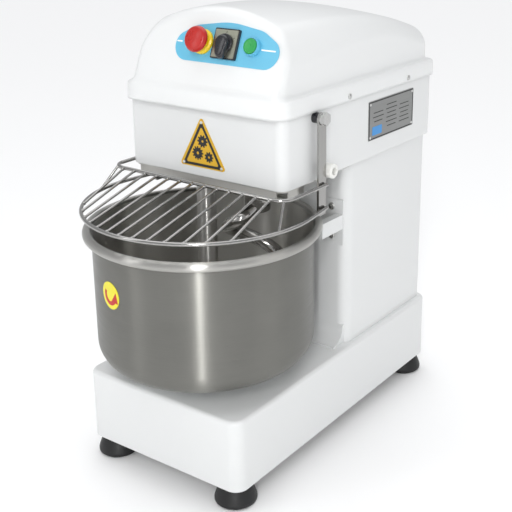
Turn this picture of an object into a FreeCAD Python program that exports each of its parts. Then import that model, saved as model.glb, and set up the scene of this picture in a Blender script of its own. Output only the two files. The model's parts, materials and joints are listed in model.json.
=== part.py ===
"""Twenty-litre spiral dough mixer: a parametric assembly written as one STEP file per piece.

Millimetres, +Z up.  The front of the machine faces -Y and its right-hand side faces +X.
The origin is on the floor, at the middle of the whole machine's bounding box.
"""
import FreeCAD, Part
import math
import os

import Sketcher
from FreeCAD import Placement, Rotation, Vector

SIZES = {
    # base
    "base_width": 324, "base_length": 609, "base_front": -270, "base_bottom": 36, "base_top": 159,
    "base_corner": 22, "sheet_wall": 3, "chassis_thickness": 8, "edge_round": 7,
    "foot_radius": 34.5, "foot_inset": 32, "stud_radius": 5,
    # column
    "column_half": 150, "column_front": 56, "column_back": 327, "column_corner": 22,
    "foot_flare": 30, "rear_cover_half": 130, "rear_cover_bottom": 172, "rear_cover_top": 482,
    # head and cover
    "head_half": 160, "head_front": -142, "head_back": 334, "head_bottom": 494, "head_top": 628,
    "head_corner": 18, "lip_half": 165, "lip_front": -148.5, "lip_back": 339, "lip_bottom": 607,
    "lip_top": 635, "cover_half": 151, "cover_back": 332, "cover_wall": 3,
    "crest_y": -50, "crest_height": 761, "roof_along": 1150, "roof_across": 275,
    "roof_across_rear": 860, "cover_corner": 33, "cover_shoulder": 31, "cover_brow": 11,
    "plate_bottom": 497, "plate_thickness": 10,
    # inclined control panel: foot of the slope
    "panel_y": -143, "panel_z": 643, "panel_tilt": 22,
    "estop_x": -12, "selector_x": 35, "start_x": 87, "control_rise": 69,
    # bowl and its drive
    "bowl_y": -145, "bowl_radius": 180, "bowl_bottom": 190, "bowl_rim": 414, "bowl_wall": 1.5,
    "bowl_corner": 42, "bead_radius": 7.5, "turntable_radius": 132, "turntable_thickness": 7,
    "turntable_bolts_at": 122, "bowl_shaft_radius": 15, "fit": 0.08,
    # dough tool, breaker bar and their places
    "hook_x": 62, "hook_y": -82, "hook_reach": 49, "hook_bar": 11, "spindle_radius": 15,
    "bar_x": -22, "bar_y": -110, "bar_radius": 16, "splash_thickness": 2.5, "splash_lip": 478,
    # countershaft, idler and motor
    "counter_y": 80, "counter_radius": 12.5, "idler_x": -72, "idler_y": -28, "motor_y": 240,
    "motor_radius": 72, "motor_shaft_radius": 12, "belt_bottom": 636, "belt_height": 34,
    "upper_chain": 600, "low_chain": 62, "high_chain": 88, "sprocket_thickness": 7,
    # guard
    "guard_y": -147, "guard_radius": 191, "guard_z": 452, "rod_radius": 3.5, "slat_radius": 2.5,
    "crossrod_y": -167, "crossrod_z": 490, "side_rod_x": 179.5, "rod_bend": 25, "slat_count": 13,
    "slat_pitch": 25.3, "arm_x": 172, "arm_thickness": 4, "arm_width": 20, "arm_y": -61,
    "arm_bottom": 441, "pivot_z": 598, "pivot_radius": 6, "bumper_radius": 12, "bumper_z": 509,
}

doc = FreeCAD.newDocument("SpiralMixer")
sheet = doc.addObject("Spreadsheet::Sheet", "Sizes")


class Size:
    """A length that carries its value and the formula it has in the sheet's names."""

    def __init__(self, value, text):
        self.value, self.text = float(value), text

    def _join(self, other, sign, value):
        other_text = other.text if isinstance(other, Size) else repr(float(other))
        return Size(value, "(%s %s %s)" % (self.text, sign, other_text))

    def __add__(self, other):
        return self._join(other, "+", self.value + number(other))

    def __sub__(self, other):
        return self._join(other, "-", self.value - number(other))

    def __mul__(self, other):
        return self._join(other, "*", self.value * number(other))

    def __truediv__(self, other):
        return self._join(other, "/", self.value / number(other))

    def __rsub__(self, other):
        return Size(other, repr(float(other))) - self

    def __neg__(self):
        return self * -1

    __radd__ = __add__
    __rmul__ = __mul__


def number(value):
    return value.value if isinstance(value, Size) else float(value)


class Names:
    """The sheet's aliases as attributes."""


d = Names()
for row, (alias, length) in enumerate(SIZES.items(), 1):
    sheet.set("A%d" % row, alias.replace("_", " "))
    sheet.set("B%d" % row, str(length))
    sheet.setAlias("B%d" % row, alias)
    setattr(d, alias, Size(length, "Sizes." + alias))
doc.recompute()

AXIS = {"z": Rotation(), "x": Rotation(Vector(0, 1, 0), 90), "y": Rotation(Vector(1, 0, 0), -90),
        "-z": Rotation(Vector(1, 0, 0), 180), "-x": Rotation(Vector(0, 1, 0), -90),
        "-y": Rotation(Vector(1, 0, 0), 90)}
PANEL_TURN = Rotation(Vector(1, 0, 0), 90 - SIZES["panel_tilt"])
pieces = {}
fasteners = {}


def bind(item, name, length):
    """Set a property, and tie it to the sheet when it has a formula."""
    if isinstance(length, Size):
        item.setExpression(name, length.text)
    elif "." not in name:
        setattr(item, name, length)
    else:
        item.setExpression(name, repr(float(length)))


def place(item, at, turn=None):
    item.Placement = Placement(Vector(*[number(v) for v in at]), turn or Rotation())
    for axis, length in zip("xyz", at):
        if isinstance(length, Size):
            item.setExpression("Placement.Base." + axis, length.text)
    return item


def node(label, item):
    """Register a finished piece; its label names its file."""
    item.Label = label
    pieces[label] = item
    return item


# ---------------------------------------------------------------- primitives and booleans
def cylinder(radius, height, at, axis="z", turn=None):
    item = doc.addObject("Part::Cylinder", "Round")
    bind(item, "Radius", radius)
    bind(item, "Height", height)
    return place(item, at, turn or AXIS[axis])


def block(length, width, height, at, turn=None):
    item = doc.addObject("Part::Box", "Block")
    bind(item, "Length", length)
    bind(item, "Width", width)
    bind(item, "Height", height)
    return place(item, at, turn)


def hexagon(across, height, at, axis="z"):
    item = doc.addObject("Part::Prism", "Hexagon")
    item.Polygon = 6
    bind(item, "Circumradius", across / math.sqrt(3))
    bind(item, "Height", height)
    return place(item, at, AXIS[axis])


def sphere(radius, at):
    item = doc.addObject("Part::Sphere", "Ball")
    bind(item, "Radius", radius)
    return place(item, at)


def fuse(*items):
    if len(items) == 1:
        return items[0]
    item = doc.addObject("Part::MultiFuse", "Joined")
    item.Shapes = list(items)
    item.Refine = True
    return item


def cut(base, *tools):
    item = doc.addObject("Part::Cut", "Cutout")
    item.Base = base
    item.Tool = tools[0] if len(tools) == 1 else group(*tools)
    return item


def group(*items):
    """Separate solids of identical pieces that share one node."""
    item = doc.addObject("Part::Compound", "Set")
    item.Links = list(items)
    return item


def feature(shape, name="Shape"):
    item = doc.addObject("Part::Feature", name)
    item.Shape = shape
    return item


# ---------------------------------------------------------------- sketches and bodies
def sketch_on(body, plane, start=0):
    sketch = body.newObject("Sketcher::SketchObject", "Outline")
    origin_plane = [f for f in body.Origin.OriginFeatures if f.Role == plane + "_Plane"][0]
    sketch.AttachmentSupport = (origin_plane, [""])
    sketch.MapMode = "FlatFace"
    sketch.AttachmentOffset = Placement(Vector(0, 0, number(start)), Rotation())
    if isinstance(start, Size):
        sketch.setExpression("AttachmentOffset.Base.z", start.text)
    return sketch


def pin(sketch, geometry, point, across, up):
    """Tie one end of a line, an arc or a centre to the sheet."""
    for kind, length in (("DistanceX", across), ("DistanceY", up)):
        index = sketch.addConstraint(
            Sketcher.Constraint(kind, -1, 1, geometry, point, number(length)))
        if isinstance(length, Size):
            sketch.setExpression("Constraints[%d]" % index, length.text)


def draw_round(sketch, across, up, radius):
    centre = Vector(number(across), number(up), 0)
    index = sketch.addGeometry(Part.Circle(centre, Vector(0, 0, 1), number(radius)), False)
    pin(sketch, index, 3, across, up)
    limit = sketch.addConstraint(Sketcher.Constraint("Radius", index, number(radius)))
    if isinstance(radius, Size):
        sketch.setExpression("Constraints[%d]" % limit, radius.text)


def draw(sketch, corners):
    """A closed outline through corners (across, up, radius); a radius rounds its corner."""
    points = [Vector(number(c[0]), number(c[1]), 0) for c in corners]
    ends = []
    for i, corner in enumerate(corners):
        radius = corner[2] if len(corner) > 2 else 0
        if number(radius) == 0:
            ends.append((corner[:2], corner[:2]))
            continue
        back = (points[i - 1] - points[i]).normalize()
        ahead = (points[(i + 1) % len(points)] - points[i]).normalize()
        reach = radius / math.tan(back.getAngle(ahead) / 2)
        ends.append(tuple((corner[0] + reach * way.x, corner[1] + reach * way.y)
                          for way in (back, ahead)))
        start, stop = [Vector(number(e[0]), number(e[1]), 0) for e in ends[-1]]
        inward = (back + ahead).normalize()
        centre = points[i] + inward * (number(radius) / math.sin(back.getAngle(ahead) / 2))
        begin, end = [math.atan2(p.y - centre.y, p.x - centre.x) for p in (start, stop)]
        order = (1, 2)
        if (end - begin) % (2 * math.pi) > math.pi:
            begin, end, order = end, begin, (2, 1)
        circle = Part.Circle(centre, Vector(0, 0, 1), number(radius))
        index = sketch.addGeometry(Part.ArcOfCircle(circle, begin, end), False)
        pin(sketch, index, order[0], *ends[-1][0])
        pin(sketch, index, order[1], *ends[-1][1])
        sketch.addConstraint(Sketcher.Constraint("Radius", index, number(radius)))
    for i in range(len(corners)):
        leave, arrive = ends[i][1], ends[(i + 1) % len(corners)][0]
        first = Vector(number(leave[0]), number(leave[1]), 0)
        last = Vector(number(arrive[0]), number(arrive[1]), 0)
        if (first - last).Length < 1e-6:
            continue
        index = sketch.addGeometry(Part.LineSegment(first, last), False)
        pin(sketch, index, 1, *leave)
        pin(sketch, index, 2, *arrive)


def rectangle(left, front, right, back, rounds=0):
    """Corners of a rectangle; rounds is one radius or the four, from the front left one round."""
    rounds = rounds if isinstance(rounds, (tuple, list)) else (rounds,) * 4
    return [(left, front, rounds[0]), (right, front, rounds[1]),
            (right, back, rounds[2]), (left, back, rounds[3])]


def new_body():
    return doc.addObject("PartDesign::Body", "Body")


def pad(body, plane, start, length, corners=None, circle=None):
    """Add an outline drawn at a height of its plane, along the plane's normal."""
    sketch = sketch_on(body, plane, start)
    draw_round(sketch, *circle) if circle else draw(sketch, corners)
    item = body.newObject("PartDesign::Pad", "Pad")
    item.Profile = sketch
    bind(item, "Length", length)
    body.Tip = item
    return item


def pocket(body, plane, start, depth, corners=None, circle=None):
    """Cut an outline from a height of its plane, against the plane's normal."""
    doc.recompute()
    before = body.Shape.Volume
    sketch = sketch_on(body, plane, start)
    draw_round(sketch, *circle) if circle else draw(sketch, corners)
    item = body.newObject("PartDesign::Pocket", "Pocket")
    item.Profile = sketch
    bind(item, "Length", depth)
    body.Tip = item
    doc.recompute()
    if body.Shape.Volume > before - 1e-3:
        raise RuntimeError("a pocket cuts nothing: " + item.Name)
    return item


def round_edges(body, radius, picked):
    """Fillet the edges of the body's last feature that a test picks."""
    doc.recompute()
    base = body.Tip
    names = ["Edge%d" % (i + 1) for i, e in enumerate(base.Shape.Edges) if picked(e)]
    item = body.newObject("PartDesign::Fillet", "Round")
    item.Base = (base, names)
    bind(item, "Radius", radius)
    body.Tip = item
    return item


def turned(profile, at=(0, 0, 0), turn=None, extra_circle=None):
    """A body of revolution about its own Z axis, from corners (radius, height, rounding)."""
    body = new_body()
    sketch = sketch_on(body, "XZ")
    draw(sketch, profile)
    revolve(body, sketch)
    if extra_circle:
        ring = sketch_on(body, "XZ")
        draw_round(ring, *extra_circle)
        revolve(body, ring)
    return place(body, at, turn)


def revolve(body, sketch):
    item = body.newObject("PartDesign::Revolution", "Turned")
    item.Profile = sketch
    item.ReferenceAxis = (sketch, ["V_Axis"])
    item.Angle = 360
    body.Tip = item


def at_height(height):
    """An edge test: the whole edge lies at a height."""
    level = number(height)
    return lambda e: abs(e.BoundBox.ZMin - level) < 0.01 and abs(e.BoundBox.ZMax - level) < 0.01


def on_circle(radius, angle):
    return radius * math.cos(math.radians(angle)), radius * math.sin(math.radians(angle))


def round_screw(at, axis, radius, length, head=None):
    """A button-head screw: its head stands out along the axis, its shank goes the other way."""
    head = head or radius * 1.9
    opposite = axis[1:] if axis.startswith("-") else "-" + axis
    return fuse(turned([(0, 0), (head, 0), (head, head * 0.35, head * 0.3), (0, head * 0.6)],
                       at, AXIS[axis]),
                cylinder(radius, length, at, opposite))


def hex_bolt(at, axis, radius, length, head_height=None):
    opposite = axis[1:] if axis.startswith("-") else "-" + axis
    return fuse(hexagon(radius * 3.2, head_height or radius * 1.3, at, axis),
                cylinder(radius, length, at, opposite))


# ---------------------------------------------------------------- panel frame
def on_panel(across, rise, out=0):
    """A point of the sloping panel: across it, up the slope and out along its normal."""
    tilt = math.radians(SIZES["panel_tilt"])
    return (across, d.panel_y + rise * math.sin(tilt) - out * math.cos(tilt),
            d.panel_z + rise * math.cos(tilt) + out * math.sin(tilt))


def panel_turned(profile, across, rise, out=0):
    return turned(profile, on_panel(across, rise, out), PANEL_TURN)


def panel_pad(corners, across, rise, out, length):
    body = new_body()
    pad(body, "XY", 0, length, corners)
    return place(body, on_panel(across, rise, out), PANEL_TURN)


# ---------------------------------------------------------------- base and feet
def make_base():
    half = d.base_width / 2
    back = d.base_front + d.base_length
    body = new_body()
    pad(body, "XY", d.base_bottom, d.base_top - d.base_bottom,
        rectangle(-half, d.base_front, half, back, d.base_corner))
    round_edges(body, d.edge_round, at_height(d.base_top))
    wall = d.sheet_wall
    pocket(body, "XY", d.base_top - wall, d.base_top - wall - d.base_bottom + 1,
           rectangle(-half + wall, d.base_front + wall, half - wall, back - wall,
                     d.base_corner - wall))
    pocket(body, "XY", d.base_top + 1, wall + 2, circle=(0, d.bowl_y, 45))
    pocket(body, "XY", d.base_top + 1, wall + 2,
           rectangle(-110, d.column_front + 10, 110, d.column_back - 15))
    chassis = new_body()
    pad(chassis, "XY", d.base_bottom, d.chassis_thickness,
        rectangle(-half + wall, d.base_front + wall, half - wall, back - wall,
                  d.base_corner - wall))
    feet, studs = [], []
    for x in (-half + d.foot_inset, half - d.foot_inset):
        for y in (d.base_front + d.foot_inset, back - d.foot_inset):
            feet.append(turned([(0, 0), (29, 0, 2), (d.foot_radius, 5, 3), (d.foot_radius, 12, 4),
                                (24, 24, 8), (16, 31, 3), (16, d.base_bottom),
                                (0, d.base_bottom)], (x, y, 0)))
            studs.append(fuse(cylinder(d.stud_radius, 38, (x, y, d.base_bottom - 20)),
                              hexagon(17, 8, (x, y, d.base_bottom + d.chassis_thickness))))
    node("foot_studs", group(*studs))
    node("rubber_feet", cut(group(*feet), pieces["foot_studs"]))
    bolts = [round_screw((x, y, d.base_top), "z", 4, 10)
             for x, y in mounting_points(54)]
    node("bowl_housing_bolts", group(*bolts))
    node("base_casing", cut(body, pieces["bowl_housing_bolts"]))
    node("base_chassis_plate", cut(chassis, pieces["foot_studs"]))


def mounting_points(radius):
    """Four points round the bowl's axis."""
    return [(x, d.bowl_y + y) for x, y in (on_circle(radius, a) for a in (45, 135, 225, 315))]


# ---------------------------------------------------------------- column
def make_column():
    half, front, back, wall = d.column_half, d.column_front, d.column_back, d.sheet_wall
    rounds = (d.column_corner, d.column_corner, 8, 8)
    body = new_body()
    pad(body, "XY", d.base_top, d.head_bottom - d.base_top,
        rectangle(-half, front, half, back, rounds))
    reach = d.foot_flare
    pad(body, "YZ", -half + 8, half * 2 - 16,
        [(front + d.column_corner, d.base_top), (front + d.column_corner, d.base_top + reach + 4),
         (front, d.base_top + reach + 4), (front, d.base_top + 3, reach - 2),
         (front - reach, d.base_top + 3), (front - reach, d.base_top)])
    inner = (d.column_corner - wall, d.column_corner - wall, 5, 5)
    pocket(body, "XY", d.head_bottom + 1, d.head_bottom - d.base_top + 2,
           rectangle(-half + wall, front + wall, half - wall, back - wall, inner))
    window = d.rear_cover_half - 16
    pocket(body, "XZ", -back + wall + 1, wall + 2,
           rectangle(-window, d.rear_cover_bottom + 16, window, d.rear_cover_top - 16, 6))
    cover = new_body()
    pad(cover, "XZ", -back - 2, 2,
        rectangle(-d.rear_cover_half, d.rear_cover_bottom, d.rear_cover_half,
                  d.rear_cover_top, 8))
    slot = pocket(cover, "XZ", -back + 1, 4, rectangle(-80, 330, 80, 336, 2.5))
    pattern = cover.newObject("PartDesign::LinearPattern", "Louvres")
    pattern.Originals = [slot]
    pattern.Direction = (slot.Profile[0], ["V_Axis"])
    pattern.Length = 112
    pattern.Occurrences = 8
    cover.Tip = pattern
    screws = [round_screw((x, back + 2, z), "y", 2.5, 9)
              for x in (-d.rear_cover_half + 8, d.rear_cover_half - 8)
              for z in (d.rear_cover_bottom + 10, 327, d.rear_cover_top - 10)]
    fasteners["rear"] = group(*screws)
    gland = fuse(hexagon(24, 5, (92, back + 2, 210), "y"),
                 turned([(5, 0), (10.5, 0), (10.5, 6), (8, 12.5, 1.5), (5, 12.5)],
                        (92, back + 2, 210), AXIS["y"]),
                 cylinder(8, 14, (92, back + 2, 210), "-y"))
    node("cable_gland", cut(gland, cylinder(5, 40, (92, back - 20, 210), "y")))
    node("column_rear_cover", cut(cover, fasteners["rear"],
                                  cylinder(8, 30, (92, back - 15, 210), "y")))
    node("interlock_bolts", group(*[round_screw((119, front - 2, z), "-y", 3, 8, 6.5)
                                    for z in (414, 361)]))
    switch = fuse(block(38, 2, 82, (104, front - 2, 346)), block(14, 63, 26, (127, front - 64, 376)))
    node("interlock_switch", cut(switch, pieces["interlock_bolts"]))
    node("column_casing", cut(body, fasteners["rear"], pieces["interlock_bolts"]))


# ---------------------------------------------------------------- head
def make_head():
    half, front, back, wall = d.head_half, d.head_front, d.head_back, d.sheet_wall
    body = new_body()
    pad(body, "XY", d.head_bottom, d.head_top - d.head_bottom,
        rectangle(-half, front, half, back, d.head_corner))
    round_edges(body, 2.5, at_height(d.head_bottom))
    pocket(body, "XY", d.head_top + 1, d.head_top - d.head_bottom - wall + 1,
           rectangle(-half + wall, front + wall, half - wall, back - wall,
                     d.head_corner - wall))
    pocket(body, "XY", d.head_bottom + wall + 1, wall + 2, circle=(d.hook_x, d.hook_y, 24))
    pocket(body, "XY", d.head_bottom + wall + 1, wall + 2,
           rectangle(-140, d.column_front + 6, 140, d.column_back - 5))
    splash_top = d.head_bottom
    splash = new_body()
    pad(splash, "XY", splash_top - d.splash_thickness, d.splash_thickness,
        rectangle(-half + 5, front + 4, half - 5, d.column_front - 4, (13, 13, 0, 0)))
    skirt = (splash_top - d.splash_thickness) - d.splash_lip
    pad(splash, "XY", d.splash_lip, skirt + 0.5,
        rectangle(-half + 18, front + 4, half - 18, front + 6))
    for side in (-1, 1):
        x = side * (number(half) - 6)
        pad(splash, "XY", d.splash_lip, skirt + 0.5,
            rectangle(x - 1, front + 18, x + 1, front + 60))
    pocket(splash, "XY", splash_top + 1, d.splash_thickness + 2,
           circle=(d.hook_x, d.hook_y, 24))
    collar_top, plate_top = splash_top - d.splash_thickness, d.plate_bottom + d.plate_thickness
    node("breaker_bar", turned([(0, 205), (d.bar_radius, 205, 5), (d.bar_radius, collar_top - 8, 2),
                                (24, collar_top - 8, 2), (24, collar_top), (10, collar_top),
                                (10, plate_top + 18, 1), (0, plate_top + 18)],
                               (d.bar_x, d.bar_y, 0)))
    node("breaker_bar_nut", cut(fuse(cylinder(19, 2.5, (d.bar_x, d.bar_y, plate_top)),
                                     hexagon(30, 14, (d.bar_x, d.bar_y, plate_top))),
                                pieces["breaker_bar"]))
    node("splash_plate", cut(splash, pieces["breaker_bar"]))
    plate = new_body()
    pad(plate, "XY", d.plate_bottom, d.plate_thickness,
        rectangle(-half + wall, front + wall, half - wall, back - wall,
                  d.head_corner - wall))
    for x, y, radius in ((d.hook_x, d.hook_y, 24), (0, d.counter_y, 16), (0, d.motor_y, 30)):
        pocket(plate, "XY", d.plate_bottom + d.plate_thickness + 1, d.plate_thickness + 2,
               circle=(x, y, radius))
    node("drive_plate", cut(plate, pieces["breaker_bar"]))
    return body


def make_cover(head_body):
    """Lip round the head, with the domed shell above it and the sloping panel at its front."""
    wall, slope = number(d.cover_wall), math.tan(math.radians(SIZES["panel_tilt"]))

    def roof_height(x, y, inset):
        """Crown along the length, and a curve across it that eases flatter to the rear."""
        share = min(max((y + 110) / 350, 0), 1)
        flat = share * share * (3 - 2 * share)
        bend = number(d.roof_across) * (1 - flat) + number(d.roof_across_rear) * flat
        return (number(d.crest_height) - inset - (y - number(d.crest_y)) ** 2
                / (2 * number(d.roof_along)) - x * x / (2 * bend))

    def dome(inset):
        """Doubly curved roof on upright walls, cut by the sloping panel, with rounded edges."""
        side, back = number(d.cover_half) - inset, number(d.cover_back) - inset
        floor, high = number(d.head_top) - 2 * inset, 800
        roof = Part.BSplineSurface()
        roof.interpolate([[Vector(x, y, roof_height(x, y, inset)) for y in range(-170, 371, 30)]
                          for x in range(-170, 171, 34)])
        under = roof.toShape().extrude(Vector(0, 0, -400))

        foot_y = number(d.panel_y) + inset / math.cos(math.atan(slope))
        foot_z = number(d.panel_z)
        outline = [Vector(-side, y, z) for y, z in (
            (foot_y + (floor - foot_z) * slope, floor), (foot_y + (high - foot_z) * slope, high),
            (back, high), (back, floor))]
        walls = Part.Face(Part.makePolygon(outline + outline[:1])).extrude(Vector(2 * side, 0, 0))
        upright = [e for e in walls.Edges
                   if e.BoundBox.YMin > back - 0.1 and e.BoundBox.ZLength > 100]
        shape = under.common(walls.makeFillet(number(d.cover_corner) - inset, upright)).Solids[0]

        eaves = [e for e in shape.Edges if e.BoundBox.YMax > number(d.crest_y) and
                 e.BoundBox.ZMin > floor + 20 and e.BoundBox.ZLength < 110]
        shape = shape.makeFillet(number(d.cover_shoulder) - inset, eaves)
        brow = [e for e in shape.Edges if max(v.Z for v in e.Vertexes) > floor + 1 and
                all(abs(v.Y - foot_y - (v.Z - foot_z) * slope) < 0.01 for v in e.Vertexes)]
        return shape.makeFillet(number(d.cover_brow) - inset, brow)

    def lip(inset, bottom, top, rounding):
        x, y0, y1 = number(d.lip_half) - inset, number(d.lip_front) + inset, \
            number(d.lip_back) - inset
        shape = Part.makeBox(2 * x, y1 - y0, top - bottom, Vector(-x, y0, bottom))
        upright = [e for e in shape.Edges if e.BoundBox.ZLength > 1]
        shape = shape.makeFillet(number(d.head_corner) + 4 - inset, upright)
        if rounding:
            rim = [e for e in shape.Edges if e.BoundBox.ZMin > top - 0.01]
            shape = shape.makeFillet(rounding, rim)
        return shape

    outer = lip(0, number(d.lip_bottom), number(d.lip_top), 7).fuse(dome(0)).removeSplitter()
    inner = lip(wall, number(d.lip_bottom) - 1, number(d.lip_top) - wall, 0).fuse(dome(wall))
    shell = feature(outer.cut(inner), "CoverShell")
    screws = [round_screw((side * number(d.lip_half), y, 615), "x" if side > 0 else "-x", 2.5, 12)
              for side in (-1, 1) for y in (34, 229)]
    fasteners["cover"] = group(*screws)
    return shell


# ---------------------------------------------------------------- controls and plates
def make_controls(shell):
    label_body = new_body()
    sketch = sketch_on(label_body, "XY")
    draw(sketch, [(-102, -32, 25), (102, -32, 25), (102, 6, 22), (66, 26, 40), (0, 36, 150),
                  (-66, 26, 40), (-102, 6, 22)])
    label_pad = label_body.newObject("PartDesign::Pad", "Pad")
    label_pad.Profile = sketch
    label_pad.Length = 0.8
    label_body.Tip = label_pad
    place(label_body, on_panel(d.selector_x, d.control_rise), PANEL_TURN)
    rise, sheet_face = d.control_rise, 0.8
    barrel = 10.5
    places = {"estop": d.estop_x, "selector": d.selector_x, "start": d.start_x}
    holes = {name: panel_turned([(0, -20), (barrel, -20), (barrel, 20), (0, 20)], x, rise)
             for name, x in places.items()}
    node("control_label", cut(label_body, *holes.values()))
    node("top_cover", cut(shell, fasteners["cover"], *holes.values()))
    node("estop_collar", panel_turned([(7, -14), (barrel, -14), (barrel, sheet_face), (20, sheet_face),
                                       (20, 5, 2), (15, 9, 1), (7, 9)], d.estop_x, rise))
    node("estop_button", panel_turned([(0, -12), (6.9, -12), (6.9, 12.8), (13, 15.5), (20, 15.5, 1),
                                       (21, 19, 1.5), (20, 24, 4), (0, 27)], d.estop_x, rise))
    node("start_collar", panel_turned([(7, -14), (barrel, -14), (barrel, sheet_face),
                                       (14.5, sheet_face), (14.5, 5, 1.2), (12.6, 6),
                                       (12.6, 3.5), (7, 3.5)], d.start_x, rise))
    node("start_button", panel_turned([(0, -12), (6.9, -12), (6.9, 7.6), (12, 7.6),
                                       (12, 11.5, 1.5), (0, 12.5)], d.start_x, rise))
    node("contact_blocks", group(*[
        panel_pad(rectangle(-15, -22, 15, 22, 2), x, rise, -54, 38)
        for x in (d.estop_x, d.start_x)]))
    frame = panel_pad(rectangle(-24, -24, 24, 24, 2), d.selector_x, rise, sheet_face, 4.2)
    barrel_tube = panel_turned([(0, -14), (barrel, -14), (barrel, 3), (0, 3)], d.selector_x, rise)
    stem_hole = panel_turned([(0, -15), (4.1, -15), (4.1, 9), (0, 9)], d.selector_x, rise)
    node("selector_bezel", cut(fuse(frame, barrel_tube), stem_hole))
    face = panel_pad(rectangle(-22, -22, 22, 22, 1), d.selector_x, rise, 5, 1)
    node("selector_plate", cut(face, stem_hole))
    knob = fuse(panel_turned([(0, 6.4), (15.5, 6.4, 0.5), (15.5, 12), (14, 18, 3), (0, 18)],
                             d.selector_x, rise),
                panel_pad([(-13.5, 6), (0, -25.5, 2.5), (13.5, 6)], d.selector_x, rise, 6.4, 8),
                panel_turned([(0, -12), (4, -12), (4, 8), (0, 8)], d.selector_x, rise))
    node("selector_knob", knob)
    switch = panel_pad(rectangle(-20, -20, 20, 20, 2), d.selector_x, rise, -50, 34)
    node("selector_switch", switch)


def make_plates():
    front = d.head_front
    hazard = new_body()
    pad(hazard, "XZ", -front, 1, [(-48, 509.5, 4), (48, 509.5, 4), (0, 594, 4)])
    rating = new_body()
    pad(rating, "YZ", d.head_half, 1, rectangle(102, 524, 257, 592, 2))
    corners = [(0, 584), (-39, 514), (39, 514)]
    rivets = [round_screw((x, front - 1, z), "-y", 1.3, 5, 2.6) for x, z in corners]
    rivets += [round_screw((d.head_half + 1, y, z), "x", 1.3, 5, 2.4)
               for y in (107, 252) for z in (529, 587)]
    node("plate_rivets", group(*rivets))
    node("hazard_plate", cut(hazard, pieces["plate_rivets"]))
    node("rating_plate", cut(rating, pieces["plate_rivets"]))


# ---------------------------------------------------------------- guard
def rod(points, radius):
    """A round rod through points, with balls at its corners."""
    shapes = []
    for i, (start, stop) in enumerate(zip(points, points[1:])):
        run = Vector(*stop) - Vector(*start)
        shapes.append(Part.makeCylinder(radius, run.Length, Vector(*start), run))
        if i:
            shapes.append(Part.makeSphere(radius, Vector(*start)))
    return shapes


def pipe(edges, radius):
    """A round rod along a smooth path."""
    path = Part.Wire(edges)
    first = path.Edges[0]
    start = first.valueAt(first.FirstParameter)
    way = first.tangentAt(first.FirstParameter)
    section = Part.Wire([Part.Circle(start, way, radius).toShape()])
    return path.makePipeShell([section], True, False)


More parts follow.
